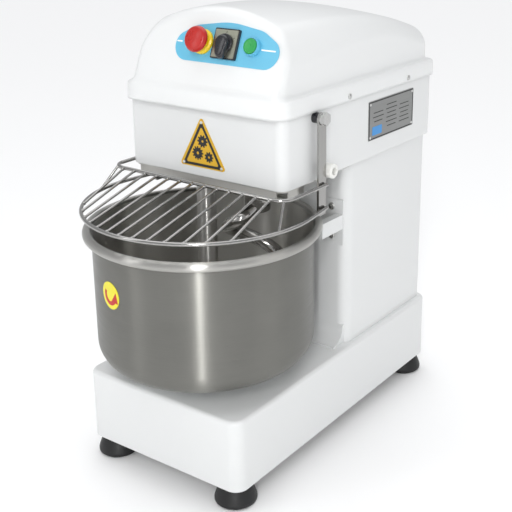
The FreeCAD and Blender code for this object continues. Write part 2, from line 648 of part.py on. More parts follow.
def make_guard():
    radius, y0, z0 = number(d.guard_radius), number(d.guard_y), number(d.guard_z)
    side, arm_y = number(d.side_rod_x), number(d.arm_y) + 6
    away = math.hypot(side, arm_y - y0)
    turn = math.atan2(arm_y - y0, side) - math.acos(radius / away)
    tangent = Vector(radius * math.cos(turn), y0 + radius * math.sin(turn), z0)
    left_tangent = Vector(-tangent.x, tangent.y, z0)
    lower = pipe([Part.LineSegment(Vector(-side, arm_y, z0), left_tangent).toShape(),
                  Part.Arc(left_tangent, Vector(0, y0 - radius, z0), tangent).toShape(),
                  Part.LineSegment(tangent, Vector(side, arm_y, z0)).toShape()],
                 number(d.rod_radius))
    bend, cross_y, cross_z = number(d.rod_bend), number(d.crossrod_y), number(d.crossrod_z)
    chord = bend * (1 - math.sqrt(0.5))

    def corner(sign):
        points = [Vector(sign * side, cross_y + bend, cross_z),
                  Vector(sign * (side - chord), cross_y + chord, cross_z),
                  Vector(sign * (side - bend), cross_y, cross_z)]
        return points if sign < 0 else points[::-1]

    left, right = corner(-1), corner(1)
    upper = pipe([Part.LineSegment(Vector(-side, arm_y, cross_z), left[0]).toShape(),
                  Part.Arc(*left).toShape(),
                  Part.LineSegment(left[2], right[0]).toShape(),
                  Part.Arc(*right).toShape(),
                  Part.LineSegment(right[2], Vector(side, arm_y, cross_z)).toShape()],
                 number(d.rod_radius))
    rods = [lower, upper]
    count, pitch = int(number(d.slat_count)), number(d.slat_pitch)
    for i in range(count):
        x = (i - (count - 1) / 2) * pitch
        front = (x, y0 - math.sqrt(radius ** 2 - x ** 2), z0)
        rods += rod([front, (x, cross_y, cross_z)], number(d.slat_radius))
    for sign in (-1, 1):
        foot = (sign * 186, y0 - math.sqrt(radius ** 2 - 186 ** 2), z0)
        rods += rod([foot, (sign * (side - chord), cross_y + chord, cross_z)],
                    number(d.slat_radius))
    node("guard_wires", feature(rods[0].multiFuse(rods[1:]).removeSplitter(), "Wires"))
    thick, width = d.arm_thickness, d.arm_width
    for name, start in (("right", d.arm_x), ("left", -d.arm_x - thick)):
        arm = new_body()
        pad(arm, "YZ", start, thick,
            rectangle(d.arm_y - width / 2, d.arm_bottom, d.arm_y + width / 2,
                      d.pivot_z + 10, (3, 3, 9.9, 9.9)))
        pocket(arm, "YZ", start + thick + 1, thick + 2,
               circle=(d.arm_y, d.pivot_z, d.pivot_radius + d.fit))
        node("guard_arm_" + name, arm)
    bolts, bushes, bumpers = [], [], []
    for sign, axis in ((-1, "-x"), (1, "x")):
        head_side = sign * d.head_half
        washer = cylinder(10.5, 1.5, (sign * (d.arm_x + thick + 0.4), d.arm_y, d.pivot_z), axis)
        head = hexagon(19, 6.5, (sign * (d.arm_x + thick + 1.9), d.arm_y, d.pivot_z), axis)
        shank = cylinder(d.pivot_radius, d.arm_x + thick + 0.4 - 145,
                         (sign * 145, d.arm_y, d.pivot_z), axis)
        bolts.append(fuse(washer, head, shank))
        bushes.append(turned([(d.pivot_radius, 0), (8.6, 0), (8.6, d.arm_x - d.head_half - 0.4),
                              (d.pivot_radius, d.arm_x - d.head_half - 0.4)],
                             (head_side, d.arm_y, d.pivot_z), AXIS[axis]))
        spot = (head_side, d.arm_y + width / 2 + d.bumper_radius + 0.6, d.bumper_z)
        bumpers.append(turned([(0, -3), (3, -3), (3, 0), (d.bumper_radius, 0),
                               (d.bumper_radius, 24, 2.5), (5.5, 24), (5.5, 14), (0, 14)],
                              spot, AXIS[axis]))
    node("guard_pivot_bolts", group(*bolts))
    node("guard_pivot_bushes", group(*bushes))
    node("guard_bumpers", group(*bumpers))


# ---------------------------------------------------------------- bowl and its shaft
def make_bowl():
    top, wall = d.bowl_rim, d.bowl_wall
    node("bowl", turned([(0, d.bowl_bottom), (d.bowl_radius, d.bowl_bottom, d.bowl_corner),
                         (d.bowl_radius, top), (d.bowl_radius - wall, top),
                         (d.bowl_radius - wall, d.bowl_bottom + wall, d.bowl_corner - wall),
                         (0, d.bowl_bottom + wall)], (0, d.bowl_y, 0),
                        extra_circle=(d.bowl_radius + 6.5, top, d.bead_radius)))
    disc_bottom = d.bowl_bottom - d.turntable_thickness
    bolts = [fuse(hexagon(13, 5.5, (x, d.bowl_y + y, disc_bottom), "-z"),
                  cylinder(4, d.turntable_thickness, (x, d.bowl_y + y, disc_bottom)))
             for x, y in (on_circle(d.turntable_bolts_at, a) for a in range(-12, 348, 60))]
    node("turntable_bolts", group(*bolts))
    node("turntable", cut(turned([(0, disc_bottom), (d.turntable_radius, disc_bottom, 2),
                                  (d.turntable_radius, d.bowl_bottom), (0, d.bowl_bottom)],
                                 (0, d.bowl_y, 0)), pieces["turntable_bolts"]))
    shaft_top = disc_bottom
    node("bowl_shaft", turned([(0, 76), (d.bowl_shaft_radius, 76, 1), (d.bowl_shaft_radius, shaft_top - 12),
                               (30, shaft_top - 12, 1), (30, shaft_top), (0, shaft_top)],
                              (0, d.bowl_y, 0)))
    bore = d.bowl_shaft_radius + d.fit
    housing = turned([(bore, 104), (42, 104, 2), (42, d.base_top), (62, d.base_top),
                      (62, d.base_top + 6, 1.5), (34, d.base_top + 6, 3), (34, shaft_top - 12.4, 2),
                      (bore, shaft_top - 12.4)], (0, d.bowl_y, 0))
    heads = [cylinder(8.5, 8, (x, y, d.base_top + 6)) for x, y in mounting_points(54)]
    return housing, heads


def gear_disc(teeth, bottom, at, bore, hub_radius=0, hub_height=0):
    """A half-inch chain sprocket with straight-sided teeth, and a hub above it."""
    pitch_radius = 6.35 / math.sin(math.pi / teeth)
    points = []
    for i in range(teeth):
        for offset, radius in ((-0.32, -4.2), (-0.1, 3.6), (0.1, 3.6), (0.32, -4.2)):
            angle = 2 * math.pi * (i + offset) / teeth
            points.append(Vector((pitch_radius + radius) * math.cos(angle),
                                 (pitch_radius + radius) * math.sin(angle), 0))
    disc = Part.Face(Part.makePolygon(points + points[:1])).extrude(
        Vector(0, 0, number(d.sprocket_thickness)))
    if hub_height:
        disc = disc.fuse(Part.makeCylinder(hub_radius, number(d.sprocket_thickness) + hub_height))
    disc = disc.cut(Part.makeCylinder(bore, 60, Vector(0, 0, -1)))
    item = feature(disc, "Sprocket")
    item.Placement = Placement(Vector(number(at[0]), number(at[1]), number(bottom)), Rotation())
    return item


def tip_radius(teeth):
    return 6.35 / math.sin(math.pi / teeth) + 3.6


def loop_face(one, other, grow):
    """Face inside a band that runs round two circles (x, y, radius)."""
    (x1, y1, r1), (x2, y2, r2) = one, other
    gap = math.hypot(x2 - x1, y2 - y1)
    heading = math.atan2(y2 - y1, x2 - x1)
    spread = math.acos((r1 - r2) / gap)

    def spot(circle, angle):
        x, y, radius = circle
        return Vector(x + (radius + grow) * math.cos(angle), y + (radius + grow) * math.sin(angle), 0)

    a, b = heading + spread, heading - spread
    edges = [Part.LineSegment(spot(one, b), spot(other, b)).toShape(),
             Part.Arc(spot(other, b), spot(other, heading), spot(other, a)).toShape(),
             Part.LineSegment(spot(other, a), spot(one, a)).toShape(),
             Part.Arc(spot(one, a), spot(one, heading + math.pi), spot(one, b)).toShape()]
    return Part.Face(Part.Wire(edges))


def chain(one, other, bottom):
    """A chain as a channel that straddles the teeth: a back and two side plates."""
    low, tall = number(bottom) - 2.5, number(d.sprocket_thickness) + 5
    ends = [(number(x), number(y), tip_radius(teeth)) for x, y, teeth in (one, other)]

    def layer(grow, z, height):
        return loop_face(*ends, grow).extrude(Vector(0, 0, height)).translate(Vector(0, 0, z))

    outside = layer(3.0, low, tall)
    throat = layer(0.6, low + 1.5, tall - 3)
    inside = layer(-6.0, low - 1, tall + 2)
    return feature(outside.cut(throat.fuse(inside)), "Chain")


def belt(one, other, bottom):
    """A V-belt run round two pulleys, a little clear of their grooves."""
    low = number(bottom)
    outer = loop_face(one, other, 0).extrude(Vector(0, 0, 10))
    inner = loop_face(one, other, -8).extrude(Vector(0, 0, 12)).translate(Vector(0, 0, -1))
    return feature(outer.cut(inner).translate(Vector(0, 0, low)), "Belt")


def pulley(radius, bore, bottom, at):
    """A two-groove pulley."""
    height = d.belt_height
    profile = [(bore, 0), (radius, 0), (radius, 4), (radius - 10, 4), (radius - 10, 15),
               (radius, 15), (radius, 19), (radius - 10, 19), (radius - 10, 30), (radius, 30),
               (radius, height), (bore, height)]
    return turned(profile, (at[0], at[1], bottom))


# ---------------------------------------------------------------- drive train
def make_drive(housing, heads):
    hook_at, counter_at = (d.hook_x, d.hook_y), (0, d.counter_y)
    idler_at, bowl_at, motor_at = (d.idler_x, d.idler_y), (0, d.bowl_y), (0, d.motor_y)
    plate_top = d.plate_bottom + d.plate_thickness
    node("bowl_housing", cut(cut(housing, *heads), pieces["bowl_housing_bolts"]))
    # spindle of the dough hook
    node("spindle_shaft", turned([(0, 460), (d.spindle_radius, 460), (d.spindle_radius, 620, 1),
                                  (0, 620)], (*hook_at, 0)))
    bore = d.spindle_radius + d.fit
    node("spindle_housing", turned([(bore, d.plate_bottom - 10), (23.5, d.plate_bottom - 10, 2),
                                    (23.5, plate_top), (52, plate_top), (52, plate_top + 10, 2),
                                    (40, plate_top + 10), (40, 592, 2), (bore, 592)],
                                   (*hook_at, 0)))
    node("spindle_sprocket", gear_disc(22, d.upper_chain, hook_at, number(d.spindle_radius),
                                       24, 8))
    # countershaft down the column
    node("countershaft", turned([(0, 48), (d.counter_radius, 48, 1), (d.counter_radius, 672, 1),
                                 (0, 672)], (*counter_at, 0)))
    bore = d.counter_radius + d.fit
    node("countershaft_housing", turned([(bore, d.plate_bottom - 8), (15.5, d.plate_bottom - 8),
                                         (15.5, plate_top), (46, plate_top),
                                         (46, plate_top + 10, 2), (34, plate_top + 10), (34, 592, 2),
                                         (bore, 592)], (*counter_at, 0)))
    floor = d.base_bottom + d.chassis_thickness
    foot_bearing = turned([(0, floor), (36, floor), (36, floor + 5, 1),
                            (26, floor + 5), (26, 58, 1), (bore, 58), (bore, 47.7), (0, 47.7)],
                           (*counter_at, 0))
    node("countershaft_sprockets", group(
        gear_disc(16, d.upper_chain, counter_at, number(d.counter_radius), 22, 8),
        gear_disc(12, d.low_chain, counter_at, number(d.counter_radius), 18, 8)))
    node("driven_pulley", pulley(Size(112, "112"), d.counter_radius, d.belt_bottom, counter_at))
    # idler that gears the bowl down
    post = turned([(0, floor), (30, floor), (30, floor + 6, 1), (10, floor + 6), (10, 104, 1),
                   (0, 104)], (*idler_at, 0))
    node("base_bearing_posts", group(foot_bearing, post))
    cluster = [gear_disc(36, d.low_chain, idler_at, 10.08, 24, 10),
               gear_disc(12, d.high_chain, idler_at, 10.08)]
    sleeve = cut(cylinder(17, 20, (*idler_at, d.low_chain + 7)),
                 cylinder(10.08, 30, (*idler_at, d.low_chain)))
    node("idler_cluster", fuse(*cluster, sleeve))
    node("bowl_sprocket", gear_disc(50, d.high_chain, bowl_at, number(d.bowl_shaft_radius), 28, 6))
    node("drive_chains", group(chain((*counter_at, 16), (*hook_at, 22), d.upper_chain),
                               chain((*counter_at, 12), (*idler_at, 36), d.low_chain),
                               chain((*idler_at, 12), (*bowl_at, 50), d.high_chain)))
    # motor hung under the drive plate
    flange_bottom = d.plate_bottom - 10
    motor = turned([(d.motor_shaft_radius + d.fit, 262), (d.motor_radius - 8, 262),
                    (d.motor_radius - 8, 290), (d.motor_radius, 290, 3),
                    (d.motor_radius, 470, 3), (60, 478), (60, flange_bottom),
                    (82, flange_bottom), (82, d.plate_bottom), (29.5, d.plate_bottom),
                    (29.5, plate_top - 4), (d.motor_shaft_radius + d.fit, plate_top - 4)],
                   (*motor_at, 0))
    fins = [block(4, 148, 150, (x - 2, number(d.motor_y) - 74, 305)) for x in (-30, 0, 30)]
    terminal_box = block(36, 70, 60, (70, d.motor_y - 35, 360))
    node("motor_housing", cut(fuse(motor, terminal_box, *fins), cylinder(62, 176, (*motor_at, 292))))
    node("motor_fan_cover", turned([(12, 240), (d.motor_radius, 240, 6), (d.motor_radius, 289.6),
                                    (d.motor_radius - 1.5, 289.6), (d.motor_radius - 1.5, 241.5, 4.5),
                                    (12, 241.5)], (*motor_at, 0)))
    node("motor_shaft", turned([(0, 252), (60, 252), (60, 258), (d.motor_shaft_radius, 258),
                                (d.motor_shaft_radius, 672, 1), (0, 672)], (*motor_at, 0)))
    node("motor_pulley", pulley(Size(35, "35"), d.motor_shaft_radius, d.belt_bottom, motor_at))
    rounds = [(0, number(d.motor_y), 34.0), (0, number(d.counter_y), 111.0)]
    node("drive_belts", group(*[belt(*rounds, d.belt_bottom + z) for z in (4.5, 19.5)]))
    node("contactor_box", block(46, 110, 150, (-146.9, d.motor_y - 100, 300)))


# ---------------------------------------------------------------- spiral hook
def make_hook():
    x0, y0 = number(d.hook_x), number(d.hook_y)
    reach, bar = number(d.hook_reach), number(d.hook_bar)
    top, bottom, turns = 432.0, 213.0, 1.35
    helix = Part.makeHelix((top - bottom) / turns, top - bottom, reach)
    first = helix.Edges[0]
    start = first.valueAt(first.FirstParameter)
    section = Part.Wire([Part.Circle(start, first.tangentAt(first.FirstParameter), bar).toShape()])
    coil = Part.Wire(helix.Edges).makePipeShell([section], True, True)
    finish = helix.Edges[-1].valueAt(helix.Edges[-1].LastParameter)
    ends = [Part.makeSphere(bar, start), Part.makeSphere(bar, finish)]
    low_arm = Part.makeCylinder(bar, (Vector(0, 0, start.z) - start).Length, start,
                                Vector(0, 0, start.z) - start)
    neck = Vector(0, 0, finish.z + 14)
    high_arm = Part.makeCylinder(bar, (neck - finish).Length, finish, neck - finish)
    tips = [Part.makeSphere(bar, Vector(0, 0, start.z)), Part.makeSphere(bar, neck)]
    hub = Part.makeCylinder(22, 44, Vector(0, 0, top + 2 - bottom))
    shape = coil.multiFuse(ends + [low_arm, high_arm] + tips + [hub])
    shape = shape.cut(Part.makeCylinder(number(d.spindle_radius), 40,
                                        Vector(0, 0, 460 - bottom)))
    item = feature(shape, "Spiral")
    item.Placement = Placement(Vector(x0, y0, bottom), Rotation(Vector(0, 0, 1), 150))
    node("spiral_hook", item)


# ---------------------------------------------------------------- whole machine
make_base()
make_column()
head_body = make_head()
cover_shell = make_cover(head_body)
make_controls(cover_shell)
make_plates()
make_guard()
node("casing_screws", group(fasteners["rear"], fasteners["cover"]))
bowl_housing, bolt_heads = make_bowl()
make_drive(bowl_housing, bolt_heads)
make_hook()
node("head_casing", cut(head_body, fasteners["cover"], pieces["plate_rivets"],
                        pieces["breaker_bar"], pieces["guard_pivot_bolts"],
                        pieces["guard_bumpers"]))
arrow = cut(cylinder(d.bowl_radius + 0.5, 56, (0, d.bowl_y, 314)),
            cylinder(d.bowl_radius, 60, (0, d.bowl_y, 312)))
spot = cylinder(22, 60, (-40, -350, 342), "y")
disc = doc.addObject("Part::Common", "Sticker")
disc.Base, disc.Tool = arrow, spot
node("bowl_arrow_label", disc)

doc.recompute()
problems = [o.Name for o in doc.Objects if "Invalid" in o.State or "Error" in o.State]
for label, item in pieces.items():
    if item.Shape.isNull() or not item.Shape.isValid() or not item.Shape.Solids:
        problems.append(label)
if problems:
    raise RuntimeError("failed objects: " + ", ".join(problems))
if len(pieces) > 60:
    raise RuntimeError("too many pieces: %d" % len(pieces))
os.makedirs("parts", exist_ok=True)
for label, item in pieces.items():
    item.Shape.exportStep("parts/%s.step" % label)
whole = Part.makeCompound([item.Shape for item in pieces.values()]).BoundBox
print(len(pieces), "pieces, box", [round(v, 2) for v in (
    whole.XMin, whole.XMax, whole.YMin, whole.YMax, whole.ZMin, whole.ZMax)])
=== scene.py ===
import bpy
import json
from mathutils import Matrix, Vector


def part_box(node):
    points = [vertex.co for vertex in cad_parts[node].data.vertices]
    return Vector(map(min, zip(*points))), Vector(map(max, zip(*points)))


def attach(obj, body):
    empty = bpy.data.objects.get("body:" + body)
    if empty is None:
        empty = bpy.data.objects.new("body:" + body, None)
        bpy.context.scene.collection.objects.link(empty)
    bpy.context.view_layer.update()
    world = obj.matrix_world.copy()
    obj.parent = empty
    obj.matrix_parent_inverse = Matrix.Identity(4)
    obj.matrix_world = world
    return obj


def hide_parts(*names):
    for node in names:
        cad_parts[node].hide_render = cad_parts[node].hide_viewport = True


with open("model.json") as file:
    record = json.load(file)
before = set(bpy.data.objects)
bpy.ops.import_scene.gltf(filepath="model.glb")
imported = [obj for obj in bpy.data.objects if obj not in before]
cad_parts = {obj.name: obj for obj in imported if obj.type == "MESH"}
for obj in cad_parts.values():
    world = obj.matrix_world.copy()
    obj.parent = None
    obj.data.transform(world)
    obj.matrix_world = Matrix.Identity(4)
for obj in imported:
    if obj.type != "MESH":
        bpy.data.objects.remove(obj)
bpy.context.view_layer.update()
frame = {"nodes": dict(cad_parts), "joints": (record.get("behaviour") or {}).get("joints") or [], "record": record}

import json
import math

import bmesh
import bpy
import numpy as np
from mathutils import Vector

# Looks of a spiral dough mixer.  Metres, +Z up, the operator stands at -Y.
MM = 0.001
TILT = math.radians(22)
joints = {joint["name"]: joint for joint in frame["joints"]}
parts = frame["nodes"]
body_of_node = {node: body for body, nodes in frame["record"]["behaviour"]["bodies"].items()
                for node in nodes}
scene = bpy.context.scene


# ------------------------------------------------------------------ finishes
class Finish:
    """A node material under construction, with short names for the nodes it uses."""

    def __init__(self, name, colour, roughness, metallic=0.0, **sockets):
        self.material = bpy.data.materials.new(name)
        self.material.use_nodes = True
        self.tree = self.material.node_tree
        self.shader = self.tree.nodes["Principled BSDF"]
        self.shader.inputs["Base Color"].default_value = (*colour, 1)
        self.shader.inputs["Roughness"].default_value = roughness
        self.shader.inputs["Metallic"].default_value = metallic
        for socket, value in sockets.items():
            self.shader.inputs[socket.replace("_", " ")].default_value = value
        self.colour, self.roughness = colour, roughness
        self.coords = self.tree.nodes.new("ShaderNodeTexCoord").outputs["Object"]
        self.height = None

    def link(self, source, target):
        """Joins an output to an input."""
        self.tree.links.new(source, target)

    def noise(self, scale, stretch=(1, 1, 1), detail=3.0, rough=0.5):
        """Noise of the given scale per metre, squeezed along each axis by stretch."""
        mapping = self.tree.nodes.new("ShaderNodeMapping")
        mapping.inputs["Scale"].default_value = stretch
        texture = self.tree.nodes.new("ShaderNodeTexNoise")
        texture.inputs["Scale"].default_value = scale
        texture.inputs["Detail"].default_value = detail
        texture.inputs["Roughness"].default_value = rough
        self.link(self.coords, mapping.inputs["Vector"])
        self.link(mapping.outputs["Vector"], texture.inputs["Vector"])
        return texture.outputs["Fac"]

    def ramp(self, source, low, high, first, last):
        """Carries source from low..high to first..last."""
        node = self.tree.nodes.new("ShaderNodeMapRange")
        for socket, value in (("From Min", low), ("From Max", high),
                              ("To Min", first), ("To Max", last)):
            node.inputs[socket].default_value = value
        self.link(source, node.inputs["Value"])
        return node.outputs["Result"]

    def math(self, operation, first, second):
        """One sum of two values, each an output or a number."""
        node = self.tree.nodes.new("ShaderNodeMath")
        node.operation = operation
        for socket, value in zip(node.inputs, (first, second)):
            if isinstance(value, (int, float)):
                socket.default_value = value
            else:
                self.link(value, socket)
        return node.outputs["Value"]

    def tint(self, share, other):
        """Mixes the base colour towards another colour by a share between 0 and 1."""
        mix = self.tree.nodes.new("ShaderNodeMix")
        mix.data_type = "RGBA"
        current = self.shader.inputs["Base Color"]
        if current.is_linked:
            self.link(current.links[0].from_socket, mix.inputs["A"])
        else:
            mix.inputs["A"].default_value = (*self.colour, 1)
        mix.inputs["B"].default_value = (*other, 1)
        self.link(share, mix.inputs["Factor"])
        self.link(mix.outputs["Result"], current)
        return self

    def vary(self, scale, amount, stretch=(1, 1, 1)):
        """Roughness wanders by amount either way."""
        spread = self.ramp(self.noise(scale, stretch), 0.2, 0.8,
                           max(self.roughness - amount, 0.02), self.roughness + amount)
        self.link(spread, self.shader.inputs["Roughness"])
        return self

    def vector(self, operation, source, value=(0, 0, 0), output="Vector"):
        """One step of vector arithmetic on source."""
        node = self.tree.nodes.new("ShaderNodeVectorMath")
        node.operation = operation
        node.inputs[1].default_value = value
        self.link(source, node.inputs[0])
        return node.outputs[output]

    def brushed_round(self, axis):
        """Scratches run round an upright axis, so the gloss is drawn out square to them: along
        the unit spoke plus the upright, laid onto the surface.  Gives the spoke, level and
        measured from the axis."""
        spoke = self.vector("MULTIPLY", self.vector("SUBTRACT", self.coords, (*axis, 0)),
                            (1, 1, 0))
        slope = self.vector("ADD", self.vector("NORMALIZE", spoke), (0, 0, 1))
        turn = self.tree.nodes.new("ShaderNodeVectorTransform")
        turn.vector_type, turn.convert_from, turn.convert_to = "VECTOR", "OBJECT", "WORLD"
        self.link(slope, turn.inputs[0])
        self.link(turn.outputs[0], self.shader.inputs["Tangent"])
        self.shader.inputs["Anisotropic"].default_value = 1.0
        return spoke

    def bump(self, source, depth):
        """Raises the surface by depth metres where source is 1."""
        node = self.tree.nodes.new("ShaderNodeBump")
        node.inputs["Distance"].default_value = depth
        node.inputs["Strength"].default_value = 1.0
        self.link(source, node.inputs["Height"])
        if self.height is not None:
            self.link(self.height, node.inputs["Normal"])
        self.height = node.outputs["Normal"]
        self.link(self.height, self.shader.inputs["Normal"])
        return self


def white_enamel(name, colour, roughness, peel):
    """Sprayed white finish: orange peel, a trace of waviness and faint flour dust."""
    made = Finish(name, colour, roughness, Coat_Weight=0.2, Coat_Roughness=0.22)
    made.vary(5, 0.02)
    made.bump(made.noise(3, detail=0), 0.00012)
    made.bump(made.noise(260, detail=1), peel)
    dust = made.ramp(made.noise(2.2, (1, 1, 1.6), 1), 0.2, 0.9, 0, 0.35)
    return made.tint(dust, tuple(c * f for c, f in zip(colour, (0.985, 0.98, 0.97))))


def moulded(name, colour, roughness, grain=0.00002, coat=0.0):
    """Moulded plastic or rubber: fine grain and slightly uneven sheen."""
    made = Finish(name, colour, roughness, Coat_Weight=coat, Coat_Roughness=0.06)
    made.vary(60, 0.06)
    made.bump(made.noise(1500, detail=2), grain)
    patch = made.ramp(made.noise(30), 0.35, 0.7, 0, 0.5)
    return made.tint(patch, tuple(min(c * 1.12 + 0.004, 1) for c in colour))


def metal(name, colour, roughness, grain_axis, grain=0.000006, coarse=900):
    """Brushed metal: long scratches, crossed by a few wider ones, and smoky patches."""
    along = tuple(0.02 if axis in grain_axis else 1 for axis in "xyz")
    made = Finish(name, colour, roughness, 1.0)
    lines = made.noise(coarse, along, 4, 0.65)
    made.vary(coarse * 0.6, 0.07, along)
    made.bump(lines, grain)
    smoke = made.ramp(made.noise(11, detail=4), 0.35, 0.75, 0, 0.55)
    made.tint(smoke, tuple(c * 0.86 for c in colour))
    streaks = made.ramp(lines, 0.35, 0.7, 0, 0.3)
    return made.tint(streaks, tuple(min(c * 1.12, 1) for c in colour))


def spun(name, colour, roughness, painted_light_colour, axis, radius, floor, corner):
    """Steel sheet spun and brushed round an upright axis.  Depth is the distance from the middle
    of the corner arc, carried on up the wall and in over the floor: below the corner's radius
    lies the inside, given a lighter colour as painted light, and above it the rolled rim, also
    lightened as a painted highlight."""
    made = metal(name, colour, roughness, "xy", 0.000003, 1500)
    spoke = made.brushed_round(axis)
    split = made.tree.nodes.new("ShaderNodeSeparateXYZ")
    made.link(made.coords, split.inputs[0])
    out = made.math("SUBTRACT", made.vector("LENGTH", spoke, output="Value"), radius - corner)
    down = made.math("SUBTRACT", floor + corner, split.outputs["Z"])
    arm = made.tree.nodes.new("ShaderNodeCombineXYZ")
    made.link(made.math("MAXIMUM", out, 0.0), arm.inputs["X"])
    made.link(made.math("MAXIMUM", down, 0.0), arm.inputs["Y"])
    depth = made.vector("LENGTH", arm.outputs[0], output="Value")
    # Painted light: the whole inside is mixed towards the lighter colour, standing in for light it would otherwise
    # lack.
    inside = made.ramp(depth, corner - 0.0010, corner - 0.0005, 0.85, 0)
    # Painted highlight: the rolled rim is lightened as if its top caught the light.
    rim = made.ramp(depth, corner + 0.001, corner + 0.003, 0, 0.6)
    return made.tint(inside, painted_light_colour).tint(rim, painted_light_colour)


def print_film(name, colour, roughness=0.32):
    """Printed film under a clear coat: tiny ink dots and a soft ripple."""
    made = Finish(name, colour, roughness, Coat_Weight=0.15, Coat_Roughness=0.25)
    made.vary(35, 0.05)
    made.bump(made.noise(180, detail=1), 0.00002)
    dots = made.ramp(made.noise(2600, detail=1), 0.45, 0.62, 0, 0.22)
    return made.tint(dots, tuple(c * 0.88 for c in colour))


def casting(name, colour):
    """Cast and sanded metal: coarse skin with darker pits."""
    made = Finish(name, colour, 0.55, 0.75)
    made.vary(80, 0.12)
    made.bump(made.noise(600, detail=4), 0.00012)
    pits = made.ramp(made.noise(300, detail=4), 0.4, 0.65, 0, 0.6)
    return made.tint(pits, tuple(c * 0.6 for c in colour))


finishes = {
    "white_paint": white_enamel("white enamel", (0.71, 0.72, 0.72), 0.3, 0.000004),
    "white_cover": white_enamel("white cover moulding", (0.75, 0.76, 0.76), 0.29, 0.000004),
    "cast_paint": white_enamel("enamelled casting", (0.74, 0.75, 0.74), 0.4, 0.00008),
    # Painted shade: the outer steel colour is darkened to stand in for the dark surroundings it mirrors; the
    # second, lighter colour is the painted light of the inside and rim.
    "bowl_steel": spun("spun bowl steel, painted shade and light", (0.22, 0.218, 0.202), 0.34, (0.68, 0.67, 0.64),
                       (0, -0.145), 0.18, 0.19, 0.042),
    "polished_steel": metal("polished steel", (0.38, 0.375, 0.365), 0.14, "z", 0.000003),
    "tool_steel": metal("ground tool steel", (0.46, 0.45, 0.435), 0.15, "xy", 0.000004),
    "machined_steel": metal("machined steel", (0.52, 0.52, 0.53), 0.3, "xy"),
    "chain_steel": casting("oiled chain", (0.16, 0.15, 0.14)),
    "frame_steel": moulded("grey primer", (0.2, 0.21, 0.22), 0.5, 0.00005),
    "zinc_plate": metal("galvanised sheet", (0.6, 0.6, 0.6), 0.42, "", 0.00002, 60),
    "zinc_fastener": metal("zinc fastener", (0.55, 0.55, 0.54), 0.27, "z"),
    "cast_iron": casting("cast iron", (0.16, 0.16, 0.17)),
    "motor_paint": moulded("motor enamel", (0.07, 0.12, 0.17), 0.4, 0.00006),
    "aluminium_rivet": metal("aluminium rivet", (0.75, 0.75, 0.74), 0.3, "xyz"),
    "foot_rubber": moulded("foot rubber", (0.006, 0.006, 0.0065), 0.5, 0.00005),
    "white_rubber": moulded("white bumper rubber", (0.75, 0.75, 0.72), 0.38, 0.00004),
    "belt_rubber": moulded("belt rubber", (0.02, 0.02, 0.02), 0.6, 0.00008),
    "black_plastic": moulded("black plastic", (0.011, 0.011, 0.015), 0.24, 0.00001, 0.2),
    "grey_plastic": moulded("grey plastic", (0.42, 0.44, 0.46), 0.34, 0.00002),
    "red_plastic": moulded("red plastic", (0.43, 0.010, 0.006), 0.3, 0.000008, 0.1),
    "yellow_plastic": moulded("yellow plastic", (0.80, 0.56, 0.004), 0.3, 0.000008, 0.1),
    "green_plastic": moulded("green plastic", (0.015, 0.30, 0.06), 0.3, 0.000008, 0.1),
    "label_film": print_film("blue panel film", (0.12, 0.46, 0.66)),
    "warning_film": print_film("warning yellow film", (0.66, 0.38, 0.003)),
    "rating_film": metal("plate aluminium", (0.31, 0.315, 0.31), 0.4, "y", 0.000004),
    "scale_plate": metal("selector plate metal", (0.33, 0.335, 0.27), 0.4, "x", 0.000004),
    "arrow_film": print_film("arrow yellow film", (0.78, 0.70, 0.006)),
}
ink_black = print_film("black ink", (0.006, 0.006, 0.006), 0.5)
ink_red = print_film("red ink", (0.50, 0.012, 0.004), 0.45)
ink_blue = print_film("blue ink", (0.035, 0.26, 0.62), 0.4)
ink_white = print_film("white ink", (0.9, 0.92, 0.93), 0.35)
slot_of_node = {entry["node"]: entry["material_slot"] for entry in frame["record"]["subparts"]}


def dress(item, finish):
    """Gives a piece its one finish."""
    item.data.materials.clear()
    item.data.materials.append(finish.material)


for node, item in parts.items():
    dress(item, finishes[slot_of_node[node]])


# ------------------------------------------------------------------ mesh tools
def grid(rows, columns, round_rows=False, round_columns=False):
    """Four-sided faces between neighbouring points of a rows-by-columns grid."""
    row, column = np.meshgrid(np.arange(rows if round_rows else rows - 1),
                              np.arange(columns if round_columns else columns - 1),
                              indexing="ij")
    next_row, next_column = (row + 1) % rows, (column + 1) % columns
    corners = [row * columns + column, row * columns + next_column,
               next_row * columns + next_column, next_row * columns + column]
    return np.stack(corners, -1).reshape(-1, 4)


def joined(*meshes):
    """One mesh out of several (points, faces) pairs."""
    points, faces, start = [], [], 0
    for some_points, some_faces in meshes:
        points.append(some_points)
        faces += [tuple(int(i) + start for i in face) for face in some_faces]
        start += len(some_points)
    return np.vstack(points), faces


def piece(name, mesh, finish, body, stands_for=(), crease=35):
    """A piece of the machine: doubles merged, faces turned outwards, sharp above crease degrees."""
    points, faces = mesh
    data = bpy.data.meshes.new(name)
    data.from_pydata(np.asarray(points, float).tolist(), [], [tuple(map(int, f)) for f in faces])
    shell = bmesh.new()
    shell.from_mesh(data)
    bmesh.ops.remove_doubles(shell, verts=shell.verts, dist=1e-6)
    bmesh.ops.dissolve_degenerate(shell, edges=shell.edges, dist=1e-7)
    bmesh.ops.recalc_face_normals(shell, faces=shell.faces)
    shell.to_mesh(data)
    shell.free()
    data.shade_smooth()
    data.set_sharp_from_angle(angle=math.radians(crease))
    item = bpy.data.objects.new(name, data)
    scene.collection.objects.link(item)
    dress(item, finish)
    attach(item, body)
    if stands_for:
        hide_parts(*stands_for)
    return item


def eased(node, crease):
    """A CAD piece with its triangles joined, so that its curves shade smoothly and only bends of
    more than crease degrees stay sharp."""
    source = parts[node].data
    corners = np.empty(len(source.vertices) * 3)
    source.vertices.foreach_get("co", corners)
    faces = np.empty(len(source.polygons) * 3, int)
    source.polygons.foreach_get("vertices", faces)
    slot = slot_of_node[node]
    return piece(node + "_finished", (corners.reshape(-1, 3), faces.reshape(-1, 3)),
                 finishes[slot], body_of_node[node], (node,), crease)


